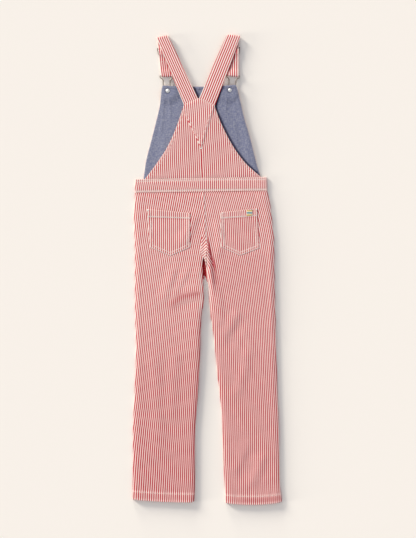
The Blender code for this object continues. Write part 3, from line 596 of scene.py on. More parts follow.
def fold(x, y, row, fade_in=0.3, fade_out=0.3):
    """Height of one fold over plan points. It fades in and out over these shares of its length."""
    from_x, from_y, to_x, to_y, bow, height, left, right = row
    length = math.hypot(to_x - from_x, to_y - from_y)
    run_x, run_y = (to_x - from_x) / length, (to_y - from_y) / length
    t = ((x - from_x) * run_x + (y - from_y) * run_y) / length
    off = (y - from_y) * run_x - (x - from_x) * run_y - bow * 4 * t * (1 - t)
    crest = 0.5 + 0.5 * np.cos(np.pi * np.clip(np.abs(off) / np.where(off > 0, left, right), 0.0, 1.0))
    return height * crest * ease(t / fade_in) * ease((1 - t) / fade_out)


def leg_top(x, y, loft=1.0):
    """Height of the back of the legs, away from their turned edges."""
    slack = 0.00025 * ripple(x + 0.4 * y, 0.031, 1.0) + 0.00020 * ripple(y - 0.3 * x, 0.043, 2.0)
    return LEG_EDGE + EDGE_PLUMP + loft * (LOFT + sum(fold(x, y, row) for row in FOLDS) + slack)


def by_height(rows, column):
    """One column of a table, each value with its height."""
    return [(row[0], row[column]) for row in rows]


def run_aside(leans, y):
    """How far stripes that lean have run aside at a height, from the lowest row up."""
    levels = np.linspace(leans[-1][0], leans[0][0], 300)
    lean = smooth(leans, levels)
    run = np.concatenate([[0.0], np.cumsum((lean[1:] + lean[:-1]) / 2 * np.diff(levels))])
    return np.interp(y, levels, run)


def stripe_run(x, y, side):
    """Distance across the stripes of a leg, where they lean and draw together down its length."""
    leans, at_left, at_right = (by_height(STRIPE_RUN[side], column) for column in (1, 2, 3))
    at_left, at_right = smooth(at_left, y), smooth(at_right, y)
    half = (LEG_SPAN[side][1] - LEG_SPAN[side][0]) / 2
    off = x - LEG_SPAN[side][0] - half
    drawn_in = (at_left + at_right) / 2 * off + (at_right - at_left) / 4 * off**2 / half
    return run_aside(leans, y) + drawn_in


def chevron_run(y):
    """How far the chevrons in the fork have run aside at a height, and how close they lie."""
    return run_aside(by_height(CHEVRONS, 1), y), smooth(by_height(CHEVRONS, 2), y)


def along_line(x, y, points):
    """Distance from a line through plan points, less than 0 on its right, and the share of its length."""
    points = np.array(points)
    run = np.diff(points, axis=0)
    length = np.hypot(*run.T)
    start = np.concatenate([[0.0], np.cumsum(length)])
    nearest, off, at = np.full(x.shape, 1e9), np.zeros(x.shape), np.zeros(x.shape)
    for k, (begin, way) in enumerate(zip(points, run / length[:, None])):
        t = np.clip((x - begin[0]) * way[0] + (y - begin[1]) * way[1], 0.0, length[k])
        from_line = np.hypot(x - begin[0] - t * way[0], y - begin[1] - t * way[1])
        left_side = np.sign((y - begin[1]) * way[0] - (x - begin[0]) * way[1])
        closer = from_line < nearest
        off = np.where(closer, from_line * left_side, off)
        at = np.where(closer, (start[k] + t) / start[-1], at)
        nearest = np.minimum(nearest, from_line)
    return off, at


def hump(away, reach):
    """1 on a line, and less and less away from it. At its reach it is about a third."""
    return np.exp(-((away / reach) ** 2))


def stitch_groove(away, depth=0.00035, reach=0.0011):
    """How far a row of stitches draws cloth down at this distance from it."""
    return depth * hump(away, reach)


STITCH = 0.0025
STITCH_GAP = 0.0007
SEWING_COTTON = 0.00075  # thickness of the thread
THREAD_TONES = {"cream": (0.90, 0.80, 0.72), "white": (0.95, 0.91, 0.86), "blue": (0.30, 0.31, 0.40)}

# Spun thread, with painted shade in the grooves between its plies
spun_plies, given, put = new_group(
    "spun_plies",
    {"Tone": "Color", "Between Plies": "Color", "Plies": "Float"},
    {"Color": "Color", "Height": "Float"},
)
plies = noise(spun_plies, given["Plies"])
spun_plies.links.new(mixed(spun_plies, plies, given["Between Plies"], given["Tone"]), put["Color"])
spun_plies.links.new(plies, put["Height"])


def sewing_cotton(name, tone):
    """Matt spun thread with its plies showing."""
    material, tree = blank_material(name)
    darker = (*(0.78 * part for part in tone), 1.0)
    spun = grouped(tree, spun_plies, {"Tone": (*tone, 1.0), "Between Plies": darker, "Plies": 1600.0})
    normal = relief(tree, spun["Height"], 0.4, 0.0001)
    surface(tree, {"Base Color": spun["Color"], "Roughness": 0.75, "Normal": normal})
    return material


threads = {colour: sewing_cotton(colour + "_thread", tone) for colour, tone in THREAD_TONES.items()}


def tops_of(pieces, x, y, below=0.05):
    """Height of the uppermost cloth under each plan point, looking down from a height."""
    points, faces = [], []
    for piece in pieces:
        first = len(points)
        points += [vertex.co for vertex in piece.data.vertices]
        faces += [[first + corner for corner in face.vertices] for face in piece.data.polygons]
    ground = BVHTree.FromPolygons(points, faces)
    found = [ground.ray_cast((a, b, below), (0.0, 0.0, -1.0), 0.1)[0] for a, b in zip(x.ravel(), y.ravel())]
    return np.array([hit.z if hit else np.nan for hit in found]).reshape(x.shape)


def travelled(points):
    """Distance along a row of points, from its start to each of them."""
    return np.concatenate([[0.0], np.cumsum(np.linalg.norm(np.diff(points, axis=0), axis=1))])


def between_rings(number):
    """Faces between rings of points, each ring a row of their numbers."""
    after = np.roll(number, -1, axis=1)
    return np.stack([number[:-1], after[:-1], after[1:], number[1:]], axis=-1).reshape(-1, 4)


def sew(name, rows, on, colour, long=STITCH, gap=STITCH_GAP, thick=SEWING_COTTON, below=0.05):
    """Stitches along plan lines, on the pieces that they hold. Their ends dip into the cloth."""
    share = np.array([0.0, 0.14, 0.5, 0.86, 1.0])
    lift = np.array([-0.60, 0.12, 0.32, 0.12, -0.60]) * thick
    girth = np.array([0.30, 0.47, 0.50, 0.47, 0.30]) * thick
    turn = np.radians([90.0, 162.0, 234.0, 306.0, 18.0])
    # Even stitches along each row, with five plan points in each
    stitches = []
    for row in rows:
        row = np.array(row)
        at = travelled(row)
        count = max(1, int((at[-1] + gap) / (long + gap)))
        start = (at[-1] + gap - count * (long + gap)) / 2 + np.arange(count) * (long + gap)
        spot = start[:, None] + long * share
        stitches.append(np.dstack([np.interp(spot, at, row[:, 0]), np.interp(spot, at, row[:, 1])]))
    # Only where there is cloth under all five points
    plan = np.concatenate(stitches)
    z = tops_of(on, plan[..., 0], plan[..., 1], below)
    held = ~np.isnan(z).any(axis=1)
    plan, z = plan[held], z[held]
    # A five-sided rod through the points of each stitch
    middle = np.dstack([plan, z + lift])
    run = plan[:, -1] - plan[:, 0]
    run /= np.linalg.norm(run, axis=1)[:, None]
    aside = np.stack([-run[:, 1], run[:, 0], 0 * run[:, 0]], axis=1)
    ring = np.cos(turn)[:, None] * aside[:, None] + np.sin(turn)[:, None] * np.array([0.0, 0.0, 0.8])
    points = middle[:, :, None] + girth[:, None, None] * ring[:, None]
    number = np.arange(len(share) * len(turn)).reshape(len(share), len(turn))
    ends = np.stack([number[0, ::-1], number[-1]])
    first = (np.arange(len(plan)) * number.size)[:, None, None]
    faces = (between_rings(number) + first).reshape(-1, 4).tolist()
    faces += (ends + first).reshape(-1, len(turn)).tolist()
    piece = new_piece(name, points.reshape(-1, 3).tolist(), faces, threads[colour], 180)
    fasten(piece, "striped_cotton" if colour != "blue" else "chambray")
    return piece


seats = {}
for side, (sides, rolls) in BACK_LEGS.items():
    length = sides[0][0][0] - sides[0][-1][0]
    parts = leg_parts(BACK_ROWS, length)
    plan, from_left, from_right, left_roll, right_roll, drop = leg_plan(
        side, sides, rolls, parts, BACK_COLUMNS
    )
    x, y = plan[..., 0], plan[..., 1]
    from_hem = (1.0 - parts)[:, None] * length + 0 * x
    from_waist = smooth(BAND_LOWER, x) - y
    bulky = 0.0
    if side == "left":
        along_inseam = ease((0.0300 - y) / 0.04) * (0.35 + 0.65 * ease((y + 0.32) / 0.20))
        bulky = along_inseam * hump(from_right, INSEAM_SPREAD)
    loft = 1.0 - left_roll[:, None] * (1.0 - ease(from_left / LOFT_REACH))
    loft *= 1.0 - right_roll[:, None] * (1.0 - ease(from_right / LOFT_REACH))
    top = leg_top(x, y, loft) + INSEAM_BULK * bulky
    top += HEM_STEP * ease((HEM + 0.0006 - from_hem) / 0.0012)
    top -= stitch_groove(from_hem - HEM_ROW) + 0.0005 * ease(1.0 - from_hem / 0.0012)
    top += 0.0005 * ripple(x, 0.016, 3.0) * hump(from_hem - HEM, 0.009) * loft
    top += 0.0004 * ripple(x, 0.014, 5.0) * hump(from_waist - 0.008, 0.009) * loft
    top -= PRESSED * (1.0 - ease(from_waist / 0.011)) * loft
    outer = np.dstack([x, y, top - (top - LEG_EDGE / 2 - SEAM / 2) * drop])
    thick = LEG_WALL + 0.0002 * ease(1.0 - from_hem / 0.0012)
    inner = inward(outer, left_roll, right_roll, thick, 1.0)

    # Rubbed at the hem's fold and its stitching; painted shade under the waistband, along the creases and
    # over the left inseam's bulk, and painted darker down the leg
    wear_and_light = 0.8 * hump(from_hem, 0.0035) + 0.5 * hump(from_hem - HEM, 0.002) - 0.14 * hump(from_waist, 0.008)
    wear_and_light -= smooth(LEG_DARKENING[side], y) + 0.05 * bulky
    for points, depth, near, far in SHADED_CREASES[side]:
        off, at = along_line(x, y, points)
        reach = np.where(off > 0, far, near) * (0.5 + at)
        wear_and_light -= depth * hump(off, reach) * ease(at / 0.12) * ease((1.0 - at) / 0.5)
    run_across = stripe_run(x, y, side)
    if side == "right":
        run, closeness = chevron_run(y)
        closeness = closeness * (1.0 + 0.45 * ease(y / 0.03))
        off, _ = along_line(x, y, SHADED_CREASES["right"][0][0])
        in_fork = (off < -0.0004) * (y < 0.0760) * ease((y + 0.045) / 0.045)
        run_across += (CHEVRON_START["right"] + closeness * from_left + run - run_across) * in_fork
        # A painted highlight along the turned edge beside the gap between the legs
        by_gap = ease((0.034 - y) / 0.01) * ease((y + 0.11) / 0.05)
        wear_and_light += 2.0 * by_gap * hump(from_left - 0.0018, 0.0021)
        # The turned hem is painted darker towards its outer corner
        wear_and_light -= 0.22 * np.exp(-(((from_hem - 0.0100) / 0.0060) ** 4)) * ease((x - 0.045) / 0.05)
    else:
        # A paler band just inside the inseam, and painted shade along the inseam's turned edge
        below_fork = ease((0.010 - y) / 0.02)
        wear_and_light += 1.3 * below_fork * ease((y + 0.13) / 0.06) * hump(from_right - 0.0062, 0.0022)
        wear_and_light -= 0.4 * below_fork * hump(from_right - 0.001, 0.0030)
    panel = cloth("back_panel_" + side, outer, inner, (run_across, y, wear_and_light), leg_cotton)
    hem_row = plan[np.abs(from_hem[:, 0] - HEM_ROW).argmin(), 5:-5]
    hem_thread = sew("hem_thread_" + side, [hem_row], [panel], "cream")
    lay(panel, "back_leg_" + side, "striped_cotton", plan, [hem_thread])
    seats[side] = panel

# Width of the lapped seam down its length, and the line of the seam
FELL = [(0.178, 0.0042), (0.110, 0.0055), (0.085, 0.0080), (0.062, 0.0110), (0.045, 0.0130), (0.005, 0.0130)]
FELL_THICK = 0.0005
FELL_SEAM = CENTRE_BACK + [(0.0360, -0.0024), (0.0180, -0.0022), (0.0070, -0.0014)]
FELL_CUT = 0.0360  # height on the seam below which its end is cut off slanting
FELL_END = [(FELL_CUT, -0.0115), (0.0180, -0.0044), (0.0070, -0.0024)]

parts = np.linspace(0.0, 1.0, 110)
seam_line = edge(FELL_SEAM, parts)
y = np.repeat(seam_line[:, 1:], 13, axis=1)
width = smooth(FELL, y[:, :1])
slant = seam_line[:, :1] - smooth(FELL_END, np.minimum(y[:, :1], FELL_CUT))
width = np.where(y[:, :1] < FELL_CUT, np.minimum(width, slant), width)
inset_by = width * np.linspace(1.0, 0.0, 13)
x = seam_line[:, :1] - inset_by
to_side = np.minimum(inset_by, width - inset_by)
z = leg_top(x, y) + 0.0003 + FELL_THICK * ease(to_side / 0.0012) + 0.00018 * ripple(y, 0.011, 2.0)
z -= PRESSED * (1.0 - ease((0.1775 - y) / 0.011))
run, closeness = chevron_run(y)
run_across = stripe_run(x, y, "left")
meet = CHEVRON_START["left"] - closeness * inset_by - run
run_across += (meet - run_across) * ease((0.088 - y) / 0.016)
wear_and_light = 1.4 * hump(inset_by, 0.0010) + 0.8 * ease((0.060 - y) / 0.02)
outer, inner = np.dstack([x, y, z]), np.dstack([x, y, z - FELL_THICK - 0.0002])
fell = cloth("seat_fell", outer, inner, (run_across, y, wear_and_light), leg_cotton)
fasten(fell, "striped_cotton")
seam_row = np.stack([x[:-34, -1] + 0.0013, y[:-34, 0]], axis=1)
seat_thread = sew("seat_thread", [seam_row], [seats["right"]], "white", thick=0.0009)


# --------------------------------------------------------------------------------------------------
# Seat pockets
# Five-sided patches of the same twill with a turned hem at the mouth. Two rows of white topstitching hold
# their sides and points to the seat, and a bartack holds each end of the mouth.

POCKETS = {  # corners clockwise from the upper left, the hem's stitching, bartacks, how the stripes lie, and how much darker it is painted
    "left": {
        "outline": [
            (-0.1380, 0.1398), (-0.0382, 0.1304), (-0.0382, 0.0515), (-0.0840, 0.0315), (-0.1311, 0.0510),
        ],
        "hem": [(-0.1364, 0.1208), (-0.0390, 0.1173)], "tacks": [(-0.1368, 0.1366), (-0.0460, 0.1315)],
        "lean": 0.000, "closeness": 1.083, "phase": 0.00315, "darker_by": 0.0,
    },
    "right": {
        "outline": [(0.0308, 0.1318), (0.1152, 0.1410), (0.1212, 0.0495), (0.0754, 0.0320), (0.0320, 0.0520)],
        "hem": [(0.0316, 0.1175), (0.1158, 0.1235)], "tacks": [(0.0330, 0.1303), (0.1125, 0.1388)],
        "lean": 0.052, "closeness": 1.15, "phase": 0.0011, "darker_by": 0.08,
    },
}
PATCH_WALL = 0.0006
POCKET_ROWS = (0.0016, 0.0072)  # of stitching, in from the sides
POCKET_PUFF = 0.0005
HEM_END = 1 / 45  # share of the hem's length that its stitching leaves at each end


def inset(corners, by):
    """Corners of a clockwise outline moved in from its sides, and each side's inward direction."""
    corners = np.array(corners)
    along = np.roll(corners, -1, axis=0) - corners
    inwards = np.stack([along[:, 1], -along[:, 0]], axis=1) / np.linalg.norm(along, axis=1)[:, None]
    both = inwards + np.roll(inwards, 1, axis=0)
    return corners + by * both * (2 / (both**2).sum(axis=1))[:, None], inwards


def from_sides(plan, corners, inwards):
    """Distances of plan points from each side of an outline, inwards."""
    return np.stack([(plan - corner) @ inward_way for corner, inward_way in zip(corners, inwards)])


def bartack(centre, size):
    """Plan lines of the close stitches in a bartack."""
    half = np.array([0.0, size[1] / 2])
    steps = np.linspace(-0.5, 0.5, int(size[0] / 0.00055)) * size[0]
    return [[centre + (at, 0.0) - half, centre + (at, 0.0) + half] for at in steps]


pockets = {}
for side, pocket in POCKETS.items():
    corners, inwards = inset(pocket["outline"], 0.0)
    upper_left, upper_right, lower_right, point, lower_left = corners
    u, v = np.linspace(0.0, 1.0, 104), np.linspace(0.0, 1.0, 96)[:, None, None]
    mouth = upper_left + (upper_right - upper_left) * u[:, None]
    turn_at = (point[0] - lower_left[0]) / (lower_right[0] - lower_left[0])
    foot = np.stack([np.interp(u, (0.0, turn_at, 1.0), bend) for bend in corners[[4, 3, 2]].T], axis=1)
    plan = mouth + (foot - mouth) * v
    x, y = plan[..., 0], plan[..., 1]
    away = from_sides(plan, corners, inwards)
    from_mouth, from_side = away[0], away[1:].min(axis=0)
    hem = np.array(pocket["hem"])
    hem_run = hem[1] - hem[0]
    from_hem = y - hem[0, 1] - (x - hem[0, 0]) * hem_run[1] / hem_run[0]
    z = leg_top(x, y) + SEAM / 2 + PATCH_WALL
    z += 0.0003 * ease((POCKET_ROWS[1] + 0.0012 - from_side) / 0.0012) + 0.0005 * ease(from_hem / 0.0010)
    z += POCKET_PUFF * ease((from_side - 0.006) / 0.024) * (0.75 + 0.25 * ripple(x + 0.6 * y, 0.034, 1.0))
    z += 0.0005 * ease((from_side - 0.006) / 0.02) * hump(from_mouth, 0.009)
    z += 0.00022 * ripple(x - 0.5 * y, 0.013, 2.0) * hump(from_side - 0.008, 0.008)
    for away_from_row in (from_side - POCKET_ROWS[0], from_side - POCKET_ROWS[1], from_hem - 0.0015):
        z -= stitch_groove(away_from_row, 0.00018)
    z -= 0.0005 * (1.0 - ease(np.minimum(from_side, from_mouth) / 0.0016))
    outer = np.dstack([x, y, z])
    inner = np.dstack([x, y, z - PATCH_WALL + 0.0002 - 0.0002 * ease(from_side / 0.003)])
    # Rubbed along the edges and beside the stitching, painted darker all over by its own amount, and with a
    # painted shadow under the hem's edge and along its right side
    wear_and_light = 0.9 * hump(from_side, 0.0020) + 0.6 * hump(from_mouth, 0.0020) - pocket["darker_by"]
    wear_and_light += 0.20 * ease(from_hem / 0.001) + 0.9 * hump(from_side - POCKET_ROWS[1], 0.0012) * (y < 0.075)
    wear_and_light += 1.9 * hump(from_hem - 0.0012, 0.0015) - 0.4 * hump(from_hem + 0.0018, 0.0012)
    wear_and_light += 0.6 * hump(away[4], 0.0022) - 3.4 * hump(away[1], 0.0013) * (y > 0.060)
    across = pocket["closeness"] * x + pocket["lean"] * y + pocket["phase"]
    patch = cloth("patch_pocket_" + side, outer, inner, (across, y, wear_and_light), leg_cotton)
    rows = []
    for by in POCKET_ROWS:
        top_left, top_right, *low = inset(pocket["outline"], by)[0]
        rows.append([top_left, *low[::-1], top_right])
    rows.append(hem + np.outer([HEM_END, -HEM_END], hem_run) + (0.0, 0.0015))
    pocket_thread = sew("pocket_thread_" + side, rows, [patch], "white", thick=0.0009)
    tacks = [line for spot in pocket["tacks"] for line in bartack(np.array(spot), (0.0060, 0.0040))]
    tack_thread = sew("bartacks_" + side, tacks, [patch], "white", long=0.0040, gap=0.0002, thick=0.0010)
    lay(patch, "pocket_" + side, "striped_cotton", plan, [pocket_thread, tack_thread])
    pockets[side] = patch


# --------------------------------------------------------------------------------------------------
# Woven tab
# A scrap of plain jacquard ribbon on the right pocket's hem, with woven bands of ochre, teal and cream
# across it and its ends turned under. It carries no words.

TAB = [(0.0912, 0.1365), (0.1044, 0.1379), (0.1040, 0.1247), (0.0908, 0.1233)]
OCHRE, TEAL, PLAIN = (0.70, 0.45, 0.09), (0.03, 0.22, 0.26), (0.82, 0.74, 0.62)
TAB_BANDS = [  # height where each band starts
    (0.1237, OCHRE), (0.1270, PLAIN), (0.1288, TEAL), (0.1320, PLAIN), (0.1338, OCHRE), (0.1366, TEAL),
]
RIBBON_WALL = 0.0006
RIBBON_THREAD = 0.00042

ribbon_weave, tree = blank_material("woven_ribbon")
parts = cloth_grain(tree)
colour = (*PLAIN, 1.0)
for start, band in TAB_BANDS:
    colour = mixed(tree, stepped(tree, parts[1], start - 0.0001, start + 0.0001), colour, (*band, 1.0))
crossing = times(tree, repeated(tree, parts[0], RIBBON_THREAD), repeated(tree, parts[1], RIBBON_THREAD))
surface(tree, {"Base Color": colour, "Roughness": 0.62, "Normal": relief(tree, crossing, 0.5, 0.00015)})

corners, inwards = inset(TAB, 0.0)
u, v = np.linspace(0.0, 1.0, 26)[:, None], np.linspace(0.0, 1.0, 26)[:, None, None]
upper, lower = (start + (end - start) * u for start, end in (corners[:2], corners[:1:-1]))
plan = upper * (1 - v) + lower * v
x, y = plan[..., 0], plan[..., 1]
from_side = from_sides(plan, corners, inwards).min(axis=0)
z = tops_of([pockets["right"]], x, y) + SEAM / 2 + RIBBON_WALL
z += 0.0003 * ease(from_side / 0.0035) - 0.0003 * (1.0 - ease(from_side / 0.0009))
outer, inner = np.dstack([x, y, z]), np.dstack([x, y, z - RIBBON_WALL])
ribbon = cloth("ribbon_tab", outer, inner, (x, y, 0.0), ribbon_weave)
tab_corners = inset(TAB, 0.0010)[0]
tab_rows = [[tab_corners[0], tab_corners[3]], [tab_corners[1], tab_corners[2]]]
tab_thread = sew("tab_thread", tab_rows, [ribbon], "cream", long=0.0016, gap=0.0005, thick=0.0005)
lay(ribbon, "pocket_tab", "woven_tab", plan, [tab_thread])


# --------------------------------------------------------------------------------------------------
# Waistband
# A doubled band of the twill round the top of the legs, front half and back half, topstitched along both
# edges. Its sides roll over the side seams.

BAND_UPPER = [(-0.1651, 0.2079), (-0.0092, 0.2114), (0.1375, 0.2128)]
BAND_TOP = 0.0044
BAND_WALL = 0.0015
BAND_ROWS = (0.0050, 0.0280)  # of stitching, down from the upper edge
BAND_PUFF = 0.0006

for half in ("back", "front"):
    near = np.array([0.0, 0.012, 0.035, 0.07])
    parts = np.concatenate([near, np.linspace(0.11, 0.89, 25), 1.0 - near[::-1]])[:, None]
    upper, lower = np.array(BAND_UPPER), np.array(BAND_LOWER)
    left, right = (upper[end] * (1 - parts) + lower[end] * parts for end in (0, -1))
    plan, from_left, from_right, left_share, right_share = turned_rows(left, right, 171)
    x = plan[..., 0]
    top, bottom = smooth(BAND_UPPER, x) - SEAM / 2, smooth(BAND_LOWER, x) + SEAM / 2
    y = top + (bottom - top) * parts
    plan[..., 1] = y
    from_upper, from_edge = top - y, np.minimum(top - y, y - bottom)
    rise = (BAND_TOP / 2 - SEAM / 2) * np.broadcast_to(left_share + right_share, x.shape)
    if half == "back":
        puff = BAND_PUFF * ease((from_edge - 0.004) / 0.006) * (0.8 + 0.2 * ripple(x, 0.040, 1.0))
        puff += 0.0003 * ripple(x + 0.5 * y, 0.012, 3.0) * hump(from_edge - 0.007, 0.004)
        puff -= stitch_groove(from_upper - BAND_ROWS[0]) + stitch_groove(from_upper - BAND_ROWS[1])
        puff -= 0.0008 * (1.0 - ease(from_edge / 0.0012))
        rise = BAND_TOP + puff * (ease(from_left / 0.006) + ease(from_right / 0.006) - 1.0) - rise
    outer = np.dstack([x, y, rise])
    rolled_over = np.ones(len(parts))
    up = 1.0 if half == "back" else -1.0
    inner = inward(outer, rolled_over, rolled_over, np.full(x.shape, BAND_WALL), up)
    wear_and_light = 2.2 * hump(from_upper, 0.0016) + 1.2 * hump(from_upper - BAND_ROWS[0], 0.0018)
    wear_and_light += 1.7 * hump(from_upper - BAND_ROWS[1] - 0.0004, 0.0026)
    leaning = 0.16 * (y - 0.1950) * ease((x + 0.180) / 0.01) * ease(-x / 0.03)
    band = cloth("band_" + half, outer, inner, (1.08 * x - leaning + 0.0012, y, wear_and_light), leg_cotton)
    if half == "front":
        lay(band, "waistband_front", "striped_cotton", plan)
        continue
    line = np.linspace(-0.1615, 0.1345, 80)
    rows = [np.stack([line, smooth(BAND_UPPER, line) - by], axis=1) for by in BAND_ROWS]
    band_thread = sew("band_thread", rows, [band], "white", thick=0.0009)
    lay(band, "waistband_back", "striped_cotton", plan, [band_thread])


# --------------------------------------------------------------------------------------------------
# Front bib
# Striped twill outside, faced with blue-grey chambray, which is all that shows between the straps. The
# clips and buttons under its upper corners hold it up a little there, and small wrinkles run down from
# them.

BIB_LEFT = [
    (0.2086, -0.1460), (0.2477, -0.1403), (0.3029, -0.1265), (0.3581, -0.1127), (0.3788, -0.1081),
    (0.3995, -0.1058), (0.4160, -0.1040), (0.4232, -0.1015),
]
BIB_RIGHT = [
    (0.2130, 0.1235), (0.2477, 0.1127), (0.3029, 0.0989), (0.3581, 0.0828), (0.3788, 0.0782),
    (0.3995, 0.0736), (0.4170, 0.0690), (0.4246, 0.0660),
]
BIB_TOP_DIP = 0.0030
BIB_LIFT = 0.0047  # how far the clips and buttons hold it up
BIB_CURL = 0.0036  # how far its right side curls up
LIFT_FLAT, LIFT_REACH = 0.014, 0.036  # distances from them where that starts and stops falling away
BIB_WALL, LINING_WALL = 0.0011, 0.0010
CLIP_LENGTH = 0.0355
FASTENINGS = {
    "left": {"bar": (-0.0928, 0.4460), "across": (1.0, 0.0), "button": (-0.0902, 0.4108)},
    "right": {"bar": (0.0597, 0.4470), "across": (0.996, -0.087), "button": (0.0529, 0.4126)},
}
LINING_WARP, LINING_WEFT = (0.152, 0.165, 0.276), (0.398, 0.400, 0.454)
# The second colour is multiplied in for painted shade and shadows on the lining, and along its darker top
LINING_FADED, LINING_SHADE_AND_DARKENING = (0.52, 0.52, 0.60), (0.17, 0.16, 0.23)
LINING_THREAD = 0.0011
LINING_PUFF = 0.0012
# Edges of the back bib and straps that lie over the lining, and the middle of the notch between the straps
BACK_BIB_RIGHT = [
    (0.2131, 0.1245), (0.2183, 0.1180), (0.2454, 0.0881), (0.2776, 0.0637), (0.3105, 0.0449),
    (0.3457, 0.0285), (0.3754, 0.0179),
]
BESIDE_RIGHT = BACK_BIB_RIGHT[:-1] + [(0.3763, 0.0181), (0.4260, 0.0364)]
BESIDE_LEFT = [(0.3800, -0.0139), (0.3930, -0.0202), (0.4260, -0.0361)]
NOTCH_MIDDLE = [(0.2000, -0.2000), (0.3900, -0.2000), (0.3930, -0.0190), (0.4260, -0.0180)]
WRINKLES = [  # where each starts, its run from there, its height and half its width
    (-0.0975, 0.4010, -0.006, -0.060, 0.0009, 0.0050), (-0.0860, 0.4000, 0.002, -0.075, 0.0008, 0.0050),
    (-0.1020, 0.3560, -0.008, -0.070, 0.0007, 0.0070), (-0.0960, 0.3200, -0.010, -0.085, 0.0008, 0.0100),
    (0.0460, 0.4020, -0.004, -0.050, 0.0008, 0.0045), (0.0600, 0.4020, 0.008, -0.060, 0.0008, 0.0050),
    (0.0600, 0.3500, 0.014, -0.075, 0.0007, 0.0080), (0.0860, 0.3000, 0.012, -0.070, 0.0008, 0.0090),
    (-0.0350, 0.4190, 0.028, -0.002, 0.0009, 0.0040),
]
LINING_ROW = 0.0018  # of stitching, in from the edges


def clip_axis(side):
    """Foot of a clip's middle line, level with the button, and the way that it runs from there."""
    across = np.array(FASTENINGS[side]["across"])
    up = np.array([-across[1], across[0]]) / np.hypot(*across)
    return np.array(FASTENINGS[side]["bar"]) - up * CLIP_LENGTH, up


def bib_lift(x, y):
    """How far the clips and buttons hold the bib up off the card."""
    lift = np.zeros_like(x)
    for side, fastening in FASTENINGS.items():
        foot, up = clip_axis(side)
        along = np.maximum((x - foot[0]) * up[0] + (y - foot[1]) * up[1], 0.0)
        from_clip = np.hypot(x - foot[0] - along * up[0], y - foot[1] - along * up[1])
        from_button = np.hypot(x - fastening["button"][0], y - fastening["button"][1])
        away = np.minimum(from_clip, from_button) - LIFT_FLAT
        lift = np.maximum(lift, BIB_LIFT * (1.0 - ease(away / (LIFT_REACH - LIFT_FLAT))))
    inside = smooth(BIB_RIGHT, y) - x
    return np.maximum(lift, BIB_CURL * ease(1.0 - inside / 0.026) * ease((y - 0.2150) / 0.06))


# Warp and weft that cross one over one, both with thicker and thinner places in their yarn
weave, given, put = new_group(
    "chambray_weave",
    {"Warp": "Color", "Weft": "Color", "Thread": "Float"},
    {"Color": "Color", "Height": "Float"},
)
parts = cloth_grain(weave)
over, under = (repeated(weave, parts[k], given["Thread"]) for k in range(2))
crossing = times(weave, plus(weave, over, under), 0.35)
warp_slub, weft_slub = noise_on(weave, 520.0, 150.0), noise_on(weave, 150.0, 520.0)
share = plus(weave, plus(weave, minus(weave, weft_slub, warp_slub), 0.17), crossing)
weave.links.new(mixed(weave, stepped(weave, share, 0.0, 1.0), given["Warp"], given["Weft"]), put["Color"])
weave.links.new(plus(weave, crossing, times(weave, share, 0.5)), put["Height"])

chambray, tree = blank_material("chambray")
dyes = {"Warp": (*LINING_WARP, 1.0), "Weft": (*LINING_WEFT, 1.0), "Thread": LINING_THREAD}
woven = grouped(tree, weave, dyes)
cotton_surface(tree, woven, LINING_FADED, LINING_SHADE_AND_DARKENING, 0.5, (0.45, 0.00018), 0.88, 0.10)

parts = np.concatenate([np.linspace(0.0, 0.965, 135), [0.974, 0.983, 0.990, 0.995, 0.998, 1.0]])
fraction = np.concatenate([[0.0, 0.004, 0.010], np.linspace(0.018, 0.982, 130), [0.990, 0.996, 1.0]])[:, None]
left, right = edge(BIB_LEFT, parts), edge(BIB_RIGHT, parts)
plan = left[:, None] + (right - left)[:, None] * fraction
plan[..., 1] -= BIB_TOP_DIP * np.outer(parts**4, 4 * fraction * (1 - fraction))
plan[0, :, 1] = smooth(BAND_UPPER, plan[0, :, 0]) + SEAM / 2
x, y = plan[..., 0], plan[..., 1]
width = np.linalg.norm(right - left, axis=1)[:, None]
from_side = np.minimum(fraction[:, 0], 1 - fraction[:, 0]) * width
from_top = plan[-1, :, 1] - y
from_edge = np.minimum(from_side, from_top)
turned = 1.0 - ease(from_edge / 0.0011)
lift = bib_lift(x, y)
under = lift + 0.0004 * turned
outer, inner = np.dstack([x, y, under]), np.dstack([x, y, under + BIB_WALL - 0.0003 * turned])
bib = cloth("bib_outer", outer, inner, (x, y, 0.8 * hump(from_edge, 0.002)), leg_cotton)
lay(bib, "bib_front", "striped_cotton", plan)

wrinkle = np.zeros_like(x)
for at_x, at_y, run_x, run_y, height, half_width in WRINKLES:
    row = (at_x, at_y, at_x + run_x, at_y + run_y, 0.0, height, half_width, half_width)
    wrinkle += fold(x, y, row, 0.25, 0.4)
beside_right = x - smooth(BESIDE_RIGHT, y)
beside_left = np.where(x < smooth(NOTCH_MIDDLE, y), x - smooth(BESIDE_LEFT, y), -0.05)
beside = np.where(beside_left > -0.01, beside_left, beside_right)
# The lining lies on the outer cloth, and puffs up beside the layers that press on it
low = lift + BIB_WALL + SEAM
top = low + LINING_WALL + wrinkle * ease(from_edge / 0.004) + 0.00022 * ripple(x + 0.5 * y, 0.021, 4.0)
top += LINING_PUFF * ease((beside - 0.0006) / 0.0045) * ease(from_edge / 0.006)
top += 0.0003 * ease((0.0072 - from_edge) / 0.0012) - stitch_groove(from_edge - LINING_ROW) - 0.0006 * turned
